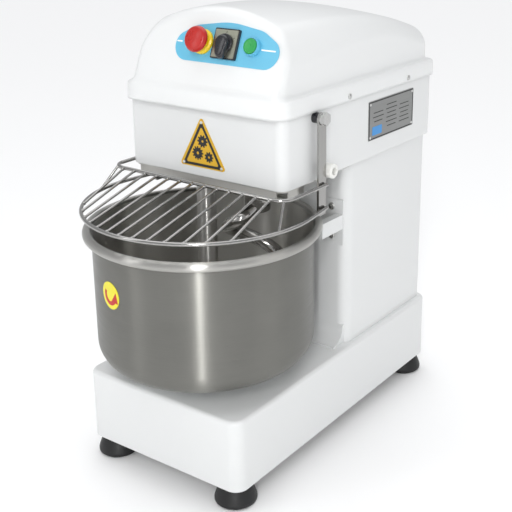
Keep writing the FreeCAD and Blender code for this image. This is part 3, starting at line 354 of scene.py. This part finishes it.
def axes_for(direction):
    """Two unit vectors square to direction and to each other."""
    direction = np.asarray(direction, float)
    helper = np.array([0, 0, 1.0]) if abs(direction[2]) < 0.9 else np.array([1.0, 0, 0])
    across = np.cross(helper, direction)
    across /= np.linalg.norm(across)
    return across, np.cross(direction, across)


def rounded(corners, steps=6):
    """A profile through corners (radius, height, rounding): each rounding is an arc tangent
    to both runs, drawn as steps short chords."""
    corners = [tuple(c) + (0,) * (3 - len(c)) for c in corners]
    points = []
    for i, (r, h, radius) in enumerate(corners):
        here = np.array([r, h])
        if radius == 0 or i in (0, len(corners) - 1):
            points.append(here)
            continue
        back = np.array(corners[i - 1][:2]) - here
        ahead = np.array(corners[i + 1][:2]) - here
        back, ahead = back / np.linalg.norm(back), ahead / np.linalg.norm(ahead)
        half = math.acos(np.clip(back @ ahead, -1, 1)) / 2
        middle = back + ahead
        centre = here + middle / np.linalg.norm(middle) * radius / math.sin(half)
        start = here + back * radius / math.tan(half) - centre
        stop = here + ahead * radius / math.tan(half) - centre
        sweep = np.linspace(0, 1, steps + 1)[:, None]
        chord = start * (1 - sweep) + stop * sweep
        points += list(centre + chord / np.linalg.norm(chord, axis=1)[:, None] * radius)
    return np.array(points)


def turned(profile, centre, direction=(0, 0, 1), steps=96):
    """A lathe shape: each (radius, height) of the profile goes round the axis through centre."""
    across, up = axes_for(direction)
    angle = np.linspace(0, 2 * math.pi, steps, endpoint=False)
    ring = np.cos(angle)[:, None] * across + np.sin(angle)[:, None] * up
    profile = np.asarray(profile, float)
    points = (np.asarray(centre, float) + profile[:, 0, None, None] * ring[None] +
              profile[:, 1, None, None] * np.asarray(direction, float))
    return points.reshape(-1, 3), grid(len(profile), steps, round_columns=True)


def rod(path, radius, sides=14, closed=False):
    """A round rod: a circle square to the path at each of its points, with domed ends."""
    path = np.asarray(path, float)
    if closed:
        along = np.roll(path, -1, 0) - np.roll(path, 1, 0)
    else:
        along = np.gradient(path, axis=0)
    along /= np.linalg.norm(along, axis=1)[:, None]
    helper = np.eye(3)[np.argmin(np.abs(along).max(0))]
    across = np.cross(helper, along)
    across /= np.linalg.norm(across, axis=1)[:, None]
    up = np.cross(along, across)
    swell = np.ones(len(path))
    if not closed:
        dome = np.linspace(0, 1, 5)
        path = np.vstack([path[:1] - along[:1] * radius * (1 - dome[:-1, None]), path,
                          path[-1:] + along[-1:] * radius * dome[1:, None]])
        across = np.vstack([across[:1].repeat(4, 0), across, across[-1:].repeat(4, 0)])
        up = np.vstack([up[:1].repeat(4, 0), up, up[-1:].repeat(4, 0)])
        ends = np.sqrt(1 - dome ** 2)
        swell = np.concatenate([ends[:0:-1], swell, ends[1:]])
    angle = np.linspace(0, 2 * math.pi, sides, endpoint=False)
    ring = (np.cos(angle)[None, :, None] * across[:, None] +
            np.sin(angle)[None, :, None] * up[:, None])
    points = path[:, None] + ring * radius * swell[:, None, None]
    return points.reshape(-1, 3), grid(len(path), sides, closed, True)


def straight(start, stop, count=2):
    """Points spaced evenly from start to stop."""
    return np.linspace(start, stop, count)


def softened(path, span, rounds=40):
    """A path resampled evenly, with each inner point drawn towards the mean of its neighbours."""
    path = np.asarray(path, float)
    length = np.concatenate([[0], np.cumsum(np.linalg.norm(np.diff(path, axis=0), axis=1))])
    even = np.linspace(0, length[-1], int(length[-1] / span) + 2)
    path = np.stack([np.interp(even, length, path[:, i]) for i in range(3)], -1)
    for _ in range(rounds):
        path[1:-1] = path[1:-1] / 2 + (path[:-2] + path[2:]) / 4
    return path


def slab(outline, thickness, place, edge=0.0002):
    """A flat piece: its outline pushed up by thickness, the top drawn in by edge.
    place carries (across, up, out) arrays to points of the machine."""
    outline = np.asarray(outline, float)
    inward = outline.mean(0) - outline
    reach = np.linalg.norm(inward, axis=1)[:, None]
    inner = outline + inward / reach * np.minimum(edge, reach * 0.4)
    levels = [(outline, 0), (outline, thickness - edge), (inner, thickness)]
    points = np.vstack([place(level[:, 0], level[:, 1], np.full(len(level), out))
                        for level, out in levels])
    n = len(outline)
    faces = [tuple(f) for f in grid(3, n, round_columns=True)]
    faces += [tuple(range(n)), tuple(range(2 * n, 3 * n))]
    return points, faces


def rounded_box(half_across, half_up, radius, centre=(0, 0), steps=6):
    """Corners of a rectangle, each replaced by a quarter circle."""
    angle = np.linspace(0, math.pi / 2, steps + 1)
    points = []
    for turn, (sx, sy) in enumerate(((1, 1), (-1, 1), (-1, -1), (1, -1))):
        a = angle + turn * math.pi / 2
        points.append(np.stack([sx * (half_across - radius) + radius * np.cos(a),
                                sy * (half_up - radius) + radius * np.sin(a)], -1))
    return np.vstack(points) + np.asarray(centre)


def middle(node):
    """Middle of a CAD piece's box."""
    low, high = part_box(node)
    return (np.array(low) + np.array(high)) / 2


# ------------------------------------------------------------------ bowl
bowl_low, bowl_high = [np.array(v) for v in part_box("bowl")]
bowl_axis = middle("bowl") * (1, 1, 0)
bead = 7.5 * MM
rim_radius = bowl_high[0]
bowl_radius = rim_radius - 14 * MM
bowl_floor, bowl_lip = bowl_low[2], bowl_high[2] - bead


def bowl_profile():
    """Floor, corner arc, upright wall and rolled rim outside, then the same inside."""
    wall, corner = 1.6 * MM, 42 * MM
    hub = rim_radius - bead
    roll = np.radians(np.linspace(215, -38, 26))
    rim = np.stack([hub + bead * np.cos(roll), bowl_lip + bead * np.sin(roll)], -1)
    outside = rounded([(0, bowl_floor), (bowl_radius, bowl_floor, corner),
                       (bowl_radius, bowl_lip - 8 * MM), (bowl_radius + 3 * MM, bowl_lip - 6 * MM)],
                      20)
    inside = rounded([(bowl_radius - wall, bowl_lip),
                      (bowl_radius - wall, bowl_floor + wall, corner - wall),
                      (0, bowl_floor + wall)], 20)
    under = np.radians(np.linspace(-38, -100, 6))[1:]
    tuck = np.stack([hub + bead * np.cos(under), bowl_lip + bead * np.sin(under)], -1)
    return np.vstack([outside, tuck[::-1], rim[::-1], inside])


piece("mixing_bowl", turned(bowl_profile(), bowl_axis, steps=192), finishes["bowl_steel"],
      "bowl_rotor", ("bowl",), crease=50)

sticker = middle("bowl_arrow_label")
sticker_turn = math.atan2(sticker[1] - bowl_axis[1], sticker[0])


def on_bowl(across, up, out):
    """Wraps a flat drawing onto the bowl's wall at the sticker."""
    angle = sticker_turn + across / bowl_radius
    radius = bowl_radius + 0.55 * MM + out
    return np.stack([radius * np.cos(angle), bowl_axis[1] + radius * np.sin(angle),
                     sticker[2] + up], -1)


def curved_arrow():
    """Three quarters of a ring ending in a triangle: the way the bowl turns."""
    turn = np.radians(np.linspace(150, 330, 30))
    thick = np.linspace(5.0, 7.0, 30) * MM
    outer = np.stack([np.cos(turn), np.sin(turn)], -1) * (12.5 * MM + thick / 2)[:, None]
    inner = np.stack([np.cos(turn), np.sin(turn)], -1) * (12.5 * MM - thick / 2)[:, None]
    strip = np.vstack([outer, inner[::-1]])
    points = np.vstack([on_bowl(strip[:, 0], strip[:, 1], np.full(60, out))
                        for out in (0, 0.25 * MM)])
    band = np.arange(29)
    faces = [tuple(q) for q in np.stack([band, band + 1, 58 - band, 59 - band], -1)]
    faces += [tuple(i + 60 for i in f) for f in faces]
    faces += [tuple(f) for f in grid(2, 60, round_columns=True)]
    head = np.array([(3.0, -9.0), (19.5, -9.5), (15.0, 8.0)]) * MM
    return joined((points, faces), slab(head, 0.25 * MM, on_bowl, 0.05 * MM))


piece("bowl_arrow_mark", curved_arrow(), ink_red, "bowl_rotor")


# ------------------------------------------------------------------ wire guard
def guard_basket():
    """Lower ring, upper cross rod with two bent corners, and the slats welded between them.  The
    ring is a circle's arc from the points where lines from the arms touch it; each slat runs
    straight from the arc to the cross rod, with a short thicker stub as the weld at its ends."""
    low, high = [np.array(v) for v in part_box("guard_wires")]
    rod_radius, slat_radius, weld_radius = 3.2 * MM, 2.1 * MM, 2.88 * MM
    ring_z, cross_z = low[2] + rod_radius, high[2] - rod_radius
    radius = high[0] - rod_radius
    ring_y = low[1] + rod_radius + radius
    arm_y = high[1]
    cross_y, side, bend = -167 * MM, 179.5 * MM, 25 * MM
    away = math.hypot(side, arm_y - ring_y)
    touch = math.atan2(arm_y - ring_y, side) - math.acos(radius / away)
    sweep = np.linspace(touch, -math.pi - touch, 120)
    arc = np.stack([radius * np.cos(sweep), ring_y + radius * np.sin(sweep),
                    np.full(120, ring_z)], -1)
    lower = np.vstack([straight((side, arm_y, ring_z), arc[0], 12)[:-1], arc,
                       straight(arc[-1], (-side, arm_y, ring_z), 12)[1:]])
    quarter = np.radians(np.linspace(0, 90, 12))
    bend_x = side - bend + bend * np.cos(quarter)
    bend_y = cross_y + bend - bend * np.sin(quarter)
    corner = np.stack([bend_x, bend_y, np.full(12, cross_z)], -1)
    upper = np.vstack([[(side, arm_y, cross_z)], corner,
                       corner[::-1] * (-1, 1, 1), [(-side, arm_y, cross_z)]])
    rods = [rod(lower, rod_radius, 18), rod(upper, rod_radius, 18)]
    pitch = 25.3 * MM
    for i in range(-6, 7):
        x = i * pitch
        foot = np.array([x, ring_y - math.sqrt(radius ** 2 - x ** 2), ring_z])
        top = np.array([x, cross_y, cross_z])
        rods.append(rod(straight(foot, top, 3), slat_radius, 14))
        for spot, aim in ((foot, top - foot), (top, foot - top)):
            weld = spot + aim / np.linalg.norm(aim) * rod_radius
            rods.append(rod(straight(weld - aim * 0.006, weld + aim * 0.006), weld_radius, 12))
    chord = bend * (1 - math.sqrt(0.5))
    corner_foot = 186 * MM
    for sign in (-1, 1):
        foot = (sign * corner_foot, ring_y - math.sqrt(radius ** 2 - corner_foot ** 2), ring_z)
        rods.append(rod(straight(foot, (sign * (side - chord), cross_y + chord, cross_z), 3),
                        slat_radius, 14))
    return joined(*rods)


piece("guard_basket", guard_basket(), finishes["polished_steel"], "guard",
      ("guard_wires",))


# ------------------------------------------------------------------ dough hook
def dough_spiral():
    """A thick rod from the axis out to a helix (reach * cos, reach * sin, height in proportion to
    the turn), up through its turns and back in to the hub."""
    axis = middle("spiral_hook") * (1, 1, 0)
    low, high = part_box("spiral_hook")
    bar, reach = 11 * MM, 49 * MM
    bottom, top = low[2] + bar, high[2] - 46 * MM
    turns, start = 1.35, math.radians(150)
    turn = start + np.linspace(0, turns * 2 * math.pi, 120)
    helix = np.stack([reach * np.cos(turn), reach * np.sin(turn),
                      np.linspace(bottom, top, 120)], -1)
    path = np.vstack([straight((0, 0, bottom), helix[0], 14)[:-1], helix,
                      straight(helix[-1], (0, 0, top + 14 * MM), 14)[1:]])
    coil = rod(softened(path, 4 * MM, 12) + axis, bar, 28)
    bore, outer, hub_top, hub_foot = 15.2 * MM, 22 * MM, high[2], high[2] - 44 * MM
    core, socket_foot = 6 * MM, high[2] - 19 * MM
    hub = turned(rounded([(bore, hub_top), (outer, hub_top, 1.5 * MM),
                          (outer, hub_foot, 4 * MM), (core, hub_foot), (core, socket_foot),
                          (bore, socket_foot), (bore, hub_top)]), axis, steps=64)
    return joined(coil, hub)


piece("dough_spiral", dough_spiral(), finishes["tool_steel"], "dough_tool",
      ("spiral_hook",), crease=45)


# ------------------------------------------------------------------ control panel
selector_seat = np.array(joints["mode_turn"]["pos_m"])
out_of_panel = np.array([0, -math.cos(TILT), math.sin(TILT)])
up_panel = np.array([0, math.sin(TILT), math.cos(TILT)])


def on_panel(across, up, out):
    """Flat drawing on the sloping panel, centred under the selector."""
    return (selector_seat + across[:, None] * np.array([1.0, 0, 0]) +
            up[:, None] * up_panel + out[:, None] * out_of_panel)


def control(name, node, slot, body, corners, steps=64):
    """A turned control at a CAD control's place; corners give (radius, out, rounding) in mm."""
    x = middle(node)[0]
    centre = np.array([x, selector_seat[1], selector_seat[2]])
    profile = rounded(np.array([tuple(c) + (0,) * (3 - len(c)) for c in corners]) * MM)
    return piece(name, turned(profile, centre, out_of_panel, steps), finishes[slot], body,
                 (node,))


control("stop_mushroom_cap", "estop_button", "red_plastic", "stop_mushroom",
        [(0, -12), (6.9, -12), (6.9, 12.8), (13, 15), (19.5, 15, 0.8), (21, 17, 1.2), (21, 20, 2.5),
         (18.5, 25, 5), (7, 26.8, 12), (0, 27)])
control("stop_collar_ring", "estop_collar", "yellow_plastic", "machine_frame",
        [(7.2, -14), (10.4, -14), (10.4, 0.8), (20, 0.8), (20, 4.5, 1.5), (17, 6.5, 1),
         (15.5, 11, 1), (13.2, 11), (10.5, 8), (7.2, 8), (7.2, -14)])
control("start_button_cap", "start_button", "green_plastic", "start_plunger",
        [(0, -12), (6.9, -12), (6.9, 7.6), (11.9, 7.6), (11.9, 11.2, 1.2), (9.5, 11.6, 0.4),
         (8.8, 11.2, 0.3), (0, 11.0)])
control("start_button_ring", "start_collar", "label_film", "machine_frame",
        [(7.2, -14), (10.4, -14), (10.4, 0.8), (14.5, 0.8), (14.5, 5.2, 1.2), (13.6, 9.5, 0.8),
         (12.5, 9.5, 0.4), (12.5, 3.5), (7.2, 3.5), (7.2, -14)])


def selector_grip():
    """A round skirt, and on it a teardrop grip: radius r(a) = R for the round end, drawn out to a
    blunt tip, each level smaller than the last near the top."""
    angle = np.linspace(0, 2 * math.pi, 96, endpoint=False)
    point = np.maximum(np.cos(angle + math.pi / 2), 0) ** 5
    outline = np.stack([np.cos(angle), np.sin(angle)], -1) * (12.3 + 12.2 * point)[:, None] * MM
    levels = [(1.0, 6.6), (1.0, 13.0), (0.985, 14.6), (0.93, 16.2), (0.84, 17.2), (0.7, 17.7),
              (0.0, 17.9)]
    rows = [on_panel(outline[:, 0] * share, outline[:, 1] * share, np.full(96, out * MM))
            for share, out in levels]
    grip = np.vstack(rows), grid(len(levels), 96, round_columns=True)
    floor = np.vstack([rows[0], on_panel(np.zeros(96), np.zeros(96), np.full(96, 6.6 * MM))])
    closing = floor, grid(2, 96, round_columns=True)
    skirt = turned(rounded(np.array([(0, -12, 0), (4, -12, 0), (4, 6.4, 0), (15.5, 6.4, 0),
                                     (15.5, 9.5, 1.2), (12, 10.5, 0), (0, 10.5, 0)]) * MM),
                   selector_seat, out_of_panel, 64)
    return joined(grip, closing, skirt)


piece("selector_grip", selector_grip(), finishes["black_plastic"], "mode_knob",
      ("selector_knob",))


def panel_marks():
    """White dashes on the panel film, either side of the push buttons."""
    film_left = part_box("control_label")[0][0]
    film_face, dashes = 0.75 * MM, []
    for x0, x1 in ((film_left + 2 * MM, film_left + 13 * MM), (103 * MM, 130 * MM)):
        box = rounded_box((x1 - x0) / 2, 1.1 * MM, 0.9 * MM,
                          ((x0 + x1) / 2 - selector_seat[0], -2.5 * MM))
        dashes.append(slab(box, 0.2 * MM, lambda a, u, o: on_panel(a, u, o + film_face),
                           0.05 * MM))
    return joined(*dashes)


piece("panel_dashes", panel_marks(), ink_white, "machine_frame")


def selector_scale():
    """Short ticks round the knob on the square plate."""
    plate_front, ticks = 5.95 * MM, []
    for turn in np.radians((-60, 0, 60)):
        tick = rounded_box(0.5 * MM, 2.0 * MM, 0.4 * MM, (0, 18.2 * MM))
        swung = np.stack([tick[:, 0] * np.cos(turn) - tick[:, 1] * np.sin(turn),
                          tick[:, 0] * np.sin(turn) + tick[:, 1] * np.cos(turn)], -1)
        ticks.append(slab(swung, 0.15 * MM, lambda a, u, o: on_panel(a, u, o + plate_front),
                          0.03 * MM))
    return joined(*ticks)


piece("selector_ticks", selector_scale(), ink_black, "machine_frame")


# ------------------------------------------------------------------ plates
hazard_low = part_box("hazard_plate")[0]
INK_GAP = 0.02 * MM


def on_hazard(across, up, out):
    """Flat drawing on the head's front, measured from the middle of the plate's foot."""
    return np.stack([across, hazard_low[1] - INK_GAP - out, hazard_low[2] + up], -1)


def triangle(inset, height=82 * MM, half=45 * MM):
    """Corners of the plate's triangle drawn in by inset, each rounded."""
    lean = math.hypot(half, height)
    top = height - inset * lean / half
    foot = inset
    width = (top - foot) * half / height
    return rounded([(0, foot), (width, foot, 2.2 * MM), (0, top, 2.2 * MM),
                    (-width, foot, 2.2 * MM), (0, foot)], 5)[:-1]


def cog(centre, radius, teeth, phase=0.0):
    """A toothed disc: the radius steps between root and tip with the sign of a cosine."""
    angle = np.linspace(0, 2 * math.pi, teeth * 12, endpoint=False)
    step = np.clip(np.cos(angle * teeth + phase) * 2.5, -1, 1)
    r = radius * (0.88 + 0.12 * step)
    return np.stack([centre[0] + r * np.cos(angle), centre[1] + r * np.sin(angle)], -1)


def ring_mark(outer, inner, place, thickness=0.25 * MM):
    """A flat band between two outlines with the same number of points."""
    n = len(outer)
    rows = [(outer, 0), (outer, thickness), (inner, thickness), (inner, 0)]
    points = np.vstack([place(row[:, 0], row[:, 1], np.full(n, out)) for row, out in rows])
    return points, grid(4, n, round_rows=True, round_columns=True)


def hazard_marks():
    """Black border and two toothed wheels in mesh, each with an open middle."""
    marks = [ring_mark(triangle(2.2 * MM), triangle(6.6 * MM), on_hazard)]
    for centre, radius, teeth, hole in (((1.5, 44), 10.5, 10, 2.0), ((-9.0, 23.5), 11.5, 12, 2.4),
                                        ((14.0, 19.5), 9.0, 9, 1.8)):
        centre = np.array(centre) * MM
        outer = cog(centre, radius * MM, teeth)
        around = np.linspace(0, 2 * math.pi, len(outer), endpoint=False)
        inner = centre + hole * MM * np.stack([np.cos(around), np.sin(around)], -1)
        marks.append(ring_mark(outer, inner, on_hazard))
    return joined(*marks)


piece("hazard_marks", hazard_marks(), ink_black, "machine_frame")

rating_low, rating_high = [np.array(v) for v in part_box("rating_plate")]


def on_rating(across, up, out):
    """Flat drawing on the head's right side, measured from the plate's lower front corner."""
    return np.stack([rating_high[0] + INK_GAP + out, rating_low[1] + across,
                     rating_low[2] + up], -1)


def rating_marks():
    """A dark frame and plain ruled lines, like a form that was never filled in."""
    width, height = (rating_high - rating_low)[1:]
    frame_outer = rounded_box(width / 2 - 1 * MM, height / 2 - 1 * MM, 2 * MM,
                              (width / 2, height / 2))
    frame_inner = rounded_box(width / 2 - 3 * MM, height / 2 - 3 * MM, 1 * MM,
                              (width / 2, height / 2))
    marks = [ring_mark(frame_outer, frame_inner, on_rating)]
    for row in range(6):
        up = 54 - row * 7.6
        for start, stop in ((14, 50), (58, 96), (104, 140)):
            if row == 0 and start != 58 or row > 3 and start == 14:
                continue
            shrink = 4 * ((row * 5 + start) % 3)
            box = rounded_box((stop - start - shrink) / 2 * MM, 0.7 * MM, 0.5 * MM,
                              ((start + stop) / 2 * MM, up * MM), 2)
            marks.append(slab(box, 0.2 * MM, on_rating, 0.03 * MM))
    return joined(*marks)


piece("rating_marks", rating_marks(), ink_black, "machine_frame")
badge = rounded_box(16 * MM, 7.5 * MM, 1.5 * MM, (28 * MM, 15 * MM))
piece("rating_block", slab(badge, 0.25 * MM, on_rating, 0.05 * MM), ink_blue,
      "machine_frame")


# ------------------------------------------------------------------ feet and bumpers
def rubber_domes():
    """Four bell-shaped feet with a moulded ring near the floor."""
    low, high = [np.array(v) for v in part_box("rubber_feet")]
    radius = 34.5 * MM
    profile = rounded(np.array([(0, 0, 0), (30, 0, 1.5), (34.5, 4, 3), (34.5, 9, 3),
                                (31.5, 18, 14), (26, 30, 8), (22, 36, 1.5), (0, 36, 0)]) * MM, 8)
    spots = [(x, y, 0) for x in (low[0] + radius, high[0] - radius)
             for y in (low[1] + radius, high[1] - radius)]
    return joined(*[turned(profile, spot, steps=72) for spot in spots])


piece("rubber_domes", rubber_domes(), finishes["foot_rubber"], "machine_frame",
      ("rubber_feet",))


head_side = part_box("head_casing")[1][0]
bumper = middle("guard_bumpers")


def on_both_sides(profile, steps):
    """The same lathe shape standing out of the head's left and right sides at the bumpers."""
    return joined(*[turned(profile, (side * head_side, bumper[1], bumper[2]), (side, 0, 0), steps)
                    for side in (-1, 1)])


def bumper_rings():
    """Two rubber stops on the head, hollow round their fixing screws."""
    low, high = [np.array(v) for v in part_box("guard_bumpers")]
    radius = (high[2] - low[2]) / 2
    reach = high[0] - head_side
    profile = rounded([(0, 0), (radius, 0), (radius, reach, 3 * MM), (radius * 0.5, reach, 1 * MM),
                       (radius * 0.46, reach * 0.45), (0, reach * 0.45)], 7)
    return on_both_sides(profile, 48)


piece("bumper_rings", bumper_rings(), finishes["white_rubber"], "machine_frame",
      ("guard_bumpers",))
screw = rounded(np.array([(0, 10.6, 0), (4.6, 10.6, 0), (4.6, 13, 1), (2.4, 13.2, 0),
                          (2.2, 11.4, 0), (0, 11.4, 0)]) * MM)
piece("bumper_screws", on_both_sides(screw, 32), finishes["zinc_fastener"],
      "machine_frame")

# ------------------------------------------------------------------ moulded cover
# Millimetres, until the points leave cover_skin.
COVER_EYE = np.array([0.0, 95.0, 612.0])
COVER_HALF, COVER_BACK, CREST, CREST_Y = 151, 332, 761, -50
LIP_HALF, LIP_MIDDLE, LIP_REACH, LIP_CORNER = 165, 95.25, 243.75, 22
LIP_TOP, LIP_HEM = 635, 607


def meet(a, b, radius):
    """Both solids' overlap, by signed distances a and b, its edge rounded to radius."""
    corner = np.hypot(np.maximum(radius + a, 0), np.maximum(radius + b, 0))
    return np.minimum(-radius, np.maximum(a, b)) + corner


def merge(a, b, radius):
    """Both solids together, the crease between them filled with a cove of radius."""
    corner = np.hypot(np.maximum(radius - a, 0), np.maximum(radius - b, 0))
    return np.maximum(radius, np.minimum(a, b)) - corner


def ease(value, low, high):
    """0 below low, 1 above high and a smooth S between them."""
    share = np.clip((value - low) / (high - low), 0, 1)
    return share * share * (3 - 2 * share)


def outside_cover(p):
    """Distance from the cover's skin, less than 0 inside.  The roof is crest - (y - crest_y)^2 /
    2300 - x^2 * curve, its curve easing flatter to the rear; it meets upright walls and the
    sloping panel on rounded edges, and a cove joins it to the lip."""
    x, y, z = p[..., 0], p[..., 1], p[..., 2]
    walls = meet(np.abs(x) - COVER_HALF, y - COVER_BACK, 22)
    flat = ease(y, -110, 240)
    curve = 0.00182 * (1 - flat) + 0.00058 * flat
    roof = (z - CREST + (y - CREST_Y) ** 2 / 2300 + x * x * curve) * 0.97
    body = meet(walls, roof, 42 * (1 - flat) + 30 * flat)
    panel = -(y + 143) * math.cos(TILT) + (z - 643) * math.sin(TILT)
    body = meet(body, panel, 13 + 5 * ease(np.abs(x), 90, 150))
    rim = meet(np.abs(x) - LIP_HALF, np.abs(y - LIP_MIDDLE) - LIP_REACH, LIP_CORNER)
    rim = meet(rim, z - LIP_TOP, 6)
    return merge(body, rim, 5 + 5 * ease(-y, 90, 140))


def cover_skin():
    """Rays from a point under the cover, spread round the lip's outline and up to the crown;
    each is cut back to where the distance to the skin is 0, by halving its range."""
    outline = rounded_box(LIP_HALF, LIP_REACH, LIP_CORNER, (0, LIP_MIDDLE), 14)
    loop = np.vstack([outline, outline[:1]])
    length = np.concatenate([[0], np.cumsum(np.linalg.norm(np.diff(loop, axis=0), axis=1))])
    even = np.linspace(0, length[-1], 240, endpoint=False)
    stops = np.unique(np.concatenate([length[:-1], even]).round(2))
    plan = np.stack([np.interp(stops, length, loop[:, i]) for i in (0, 1)], -1) - COVER_EYE[:2]
    reach = np.linalg.norm(plan, axis=1)
    heading = plan / reach[:, None]
    lip_rise = LIP_TOP - COVER_EYE[2]
    edge = np.arctan2(lip_rise, reach) * 0.86
    foot = np.arctan2(lip_rise, reach - 15) * 1.12
    rows = [edge * share for share in np.linspace(0, 1, 5)]
    rows += [edge + (foot - edge) * share for share in np.linspace(0, 1, 22)[1:]]
    rows += [foot + (math.pi / 2 - foot) * share for share in np.linspace(0, 1, 100)[1:]]
    rise = np.array(rows)
    ray = np.concatenate([np.cos(rise)[..., None] * heading[None], np.sin(rise)[..., None]], -1)
    near, far = np.zeros(rise.shape), np.full(rise.shape, 600.0)
    for _ in range(34):
        half = (near + far) / 2
        inside = outside_cover(COVER_EYE + ray * half[..., None]) < 0
        near, far = np.where(inside, half, near), np.where(inside, far, half)
    skin = COVER_EYE + ray * near[..., None]
    hem = skin[0].copy()
    hem[:, 2] = LIP_HEM
    skin = np.concatenate([hem[None], skin])
    points = skin.reshape(-1, 3) * MM
    return points, grid(len(skin), len(stops), round_columns=True)


cover = piece("cover_moulding", cover_skin(), finishes["white_cover"],
              "machine_frame", ("top_cover",), crease=70)
wall = cover.modifiers.new("wall", "SOLIDIFY")
wall.thickness, wall.offset = 2.5 * MM, -1

# ------------------------------------------------------------------ casings and fasteners
for node in ("head_casing", "column_casing", "base_casing"):
    eased(node, crease=30)
for node in ("breaker_bar", "splash_plate", "guard_arm_left", "guard_arm_right",
             "guard_pivot_bolts", "guard_pivot_bushes", "interlock_switch", "interlock_bolts",
             "turntable", "turntable_bolts", "casing_screws", "column_rear_cover", "cable_gland",
             "selector_bezel", "selector_plate", "bowl_housing", "spindle_housing", "bowl_shaft",
             "spindle_shaft", "plate_rivets"):
    eased(node, crease=32)

bar_steel = metal("ground bar steel", (0.66, 0.65, 0.63), 0.34, "xy", 0.000003)
bar_steel.brushed_round(middle("breaker_bar")[:2])
dress(bpy.data.objects["breaker_bar_finished"], bar_steel)

# ------------------------------------------------------------------ floor, light and camera
floor_data = bpy.data.meshes.new("studio_floor")
FLOOR_HALF = 40.0
corners = np.array([(-1, -1, 0), (1, -1, 0), (1, 1, 0), (-1, 1, 0)]) * FLOOR_HALF
floor_data.from_pydata(corners.tolist(), [], [(0, 1, 2, 3)])
floor = bpy.data.objects.new("studio_floor", floor_data)
scene.collection.objects.link(floor)
floor_finish = Finish("studio floor", (0.95, 0.95, 0.95), 0.7)
floor_finish.bump(floor_finish.noise(300), 0.00005)
dress(floor, floor_finish)


def softbox(name, place, target, width, height, power, colour=(1, 1, 1)):
    """A rectangular lamp at place, turned to target and not itself seen by the camera."""
    lamp = bpy.data.lights.new(name, "AREA")
    lamp.shape, lamp.size, lamp.size_y = "RECTANGLE", width, height
    lamp.energy, lamp.color = power, colour
    item = bpy.data.objects.new(name, lamp)
    item.location = place
    item.rotation_euler = (Vector(target) - Vector(place)).to_track_quat("-Z", "Y").to_euler()
    item.visible_camera = False
    scene.collection.objects.link(item)


softbox("key_softbox", (-1.5, -2.5, 1.9), (0, -0.1, 0.4), 0.5, 1.9, 9)
softbox("strip_softbox", (1.354, -2.10, 1.0), (0.111, -0.287, 0.3), 0.13, 1.8, 18)
softbox("front_softbox", (1.3, -2.0, 2.0), (0.05, -0.1, 0.25), 0.6, 0.9, 14)
softbox("side_softbox", (2.8, 0.6, 1.6), (0, 0.1, 0.4), 1.6, 1.6, 5, (1, 0.985, 0.96))
sky = bpy.data.lights.new("ceiling_glow", "SUN")
sky.energy, sky.angle = 1.35, math.radians(75)
ceiling = bpy.data.objects.new("ceiling_glow", sky)
ceiling.rotation_euler = (math.radians(-14), math.radians(-10), 0)
scene.collection.objects.link(ceiling)

world = bpy.data.worlds.new("studio")
scene.world = world
world.use_nodes = True
tree = world.node_tree
surround = tree.nodes["Background"]
surround.inputs["Color"].default_value = (0.97, 0.98, 1.0, 1)
surround.inputs["Strength"].default_value = 0.56
seen = tree.nodes.new("ShaderNodeBackground")
seen.inputs["Color"].default_value = (0.97, 0.97, 0.97, 1)
paths = tree.nodes.new("ShaderNodeLightPath")
blend = tree.nodes.new("ShaderNodeMixShader")
tree.links.new(paths.outputs["Is Camera Ray"], blend.inputs[0])
tree.links.new(surround.outputs[0], blend.inputs[1])
tree.links.new(seen.outputs[0], blend.inputs[2])
tree.links.new(blend.outputs[0], tree.nodes["World Output"].inputs[0])

camera_data = bpy.data.cameras.new("camera")
camera_data.lens, camera_data.sensor_width = 68.17, 36.0
camera_data.shift_x, camera_data.shift_y = -0.100, -0.1335
camera = bpy.data.objects.new("camera", camera_data)
camera.location = (0.9847, -1.2754, 0.9410)
camera.rotation_euler = (math.pi / 2 - 0.302, 0, 0.604)
scene.collection.objects.link(camera)
scene.camera = camera
scene.view_settings.view_transform = "Standard"
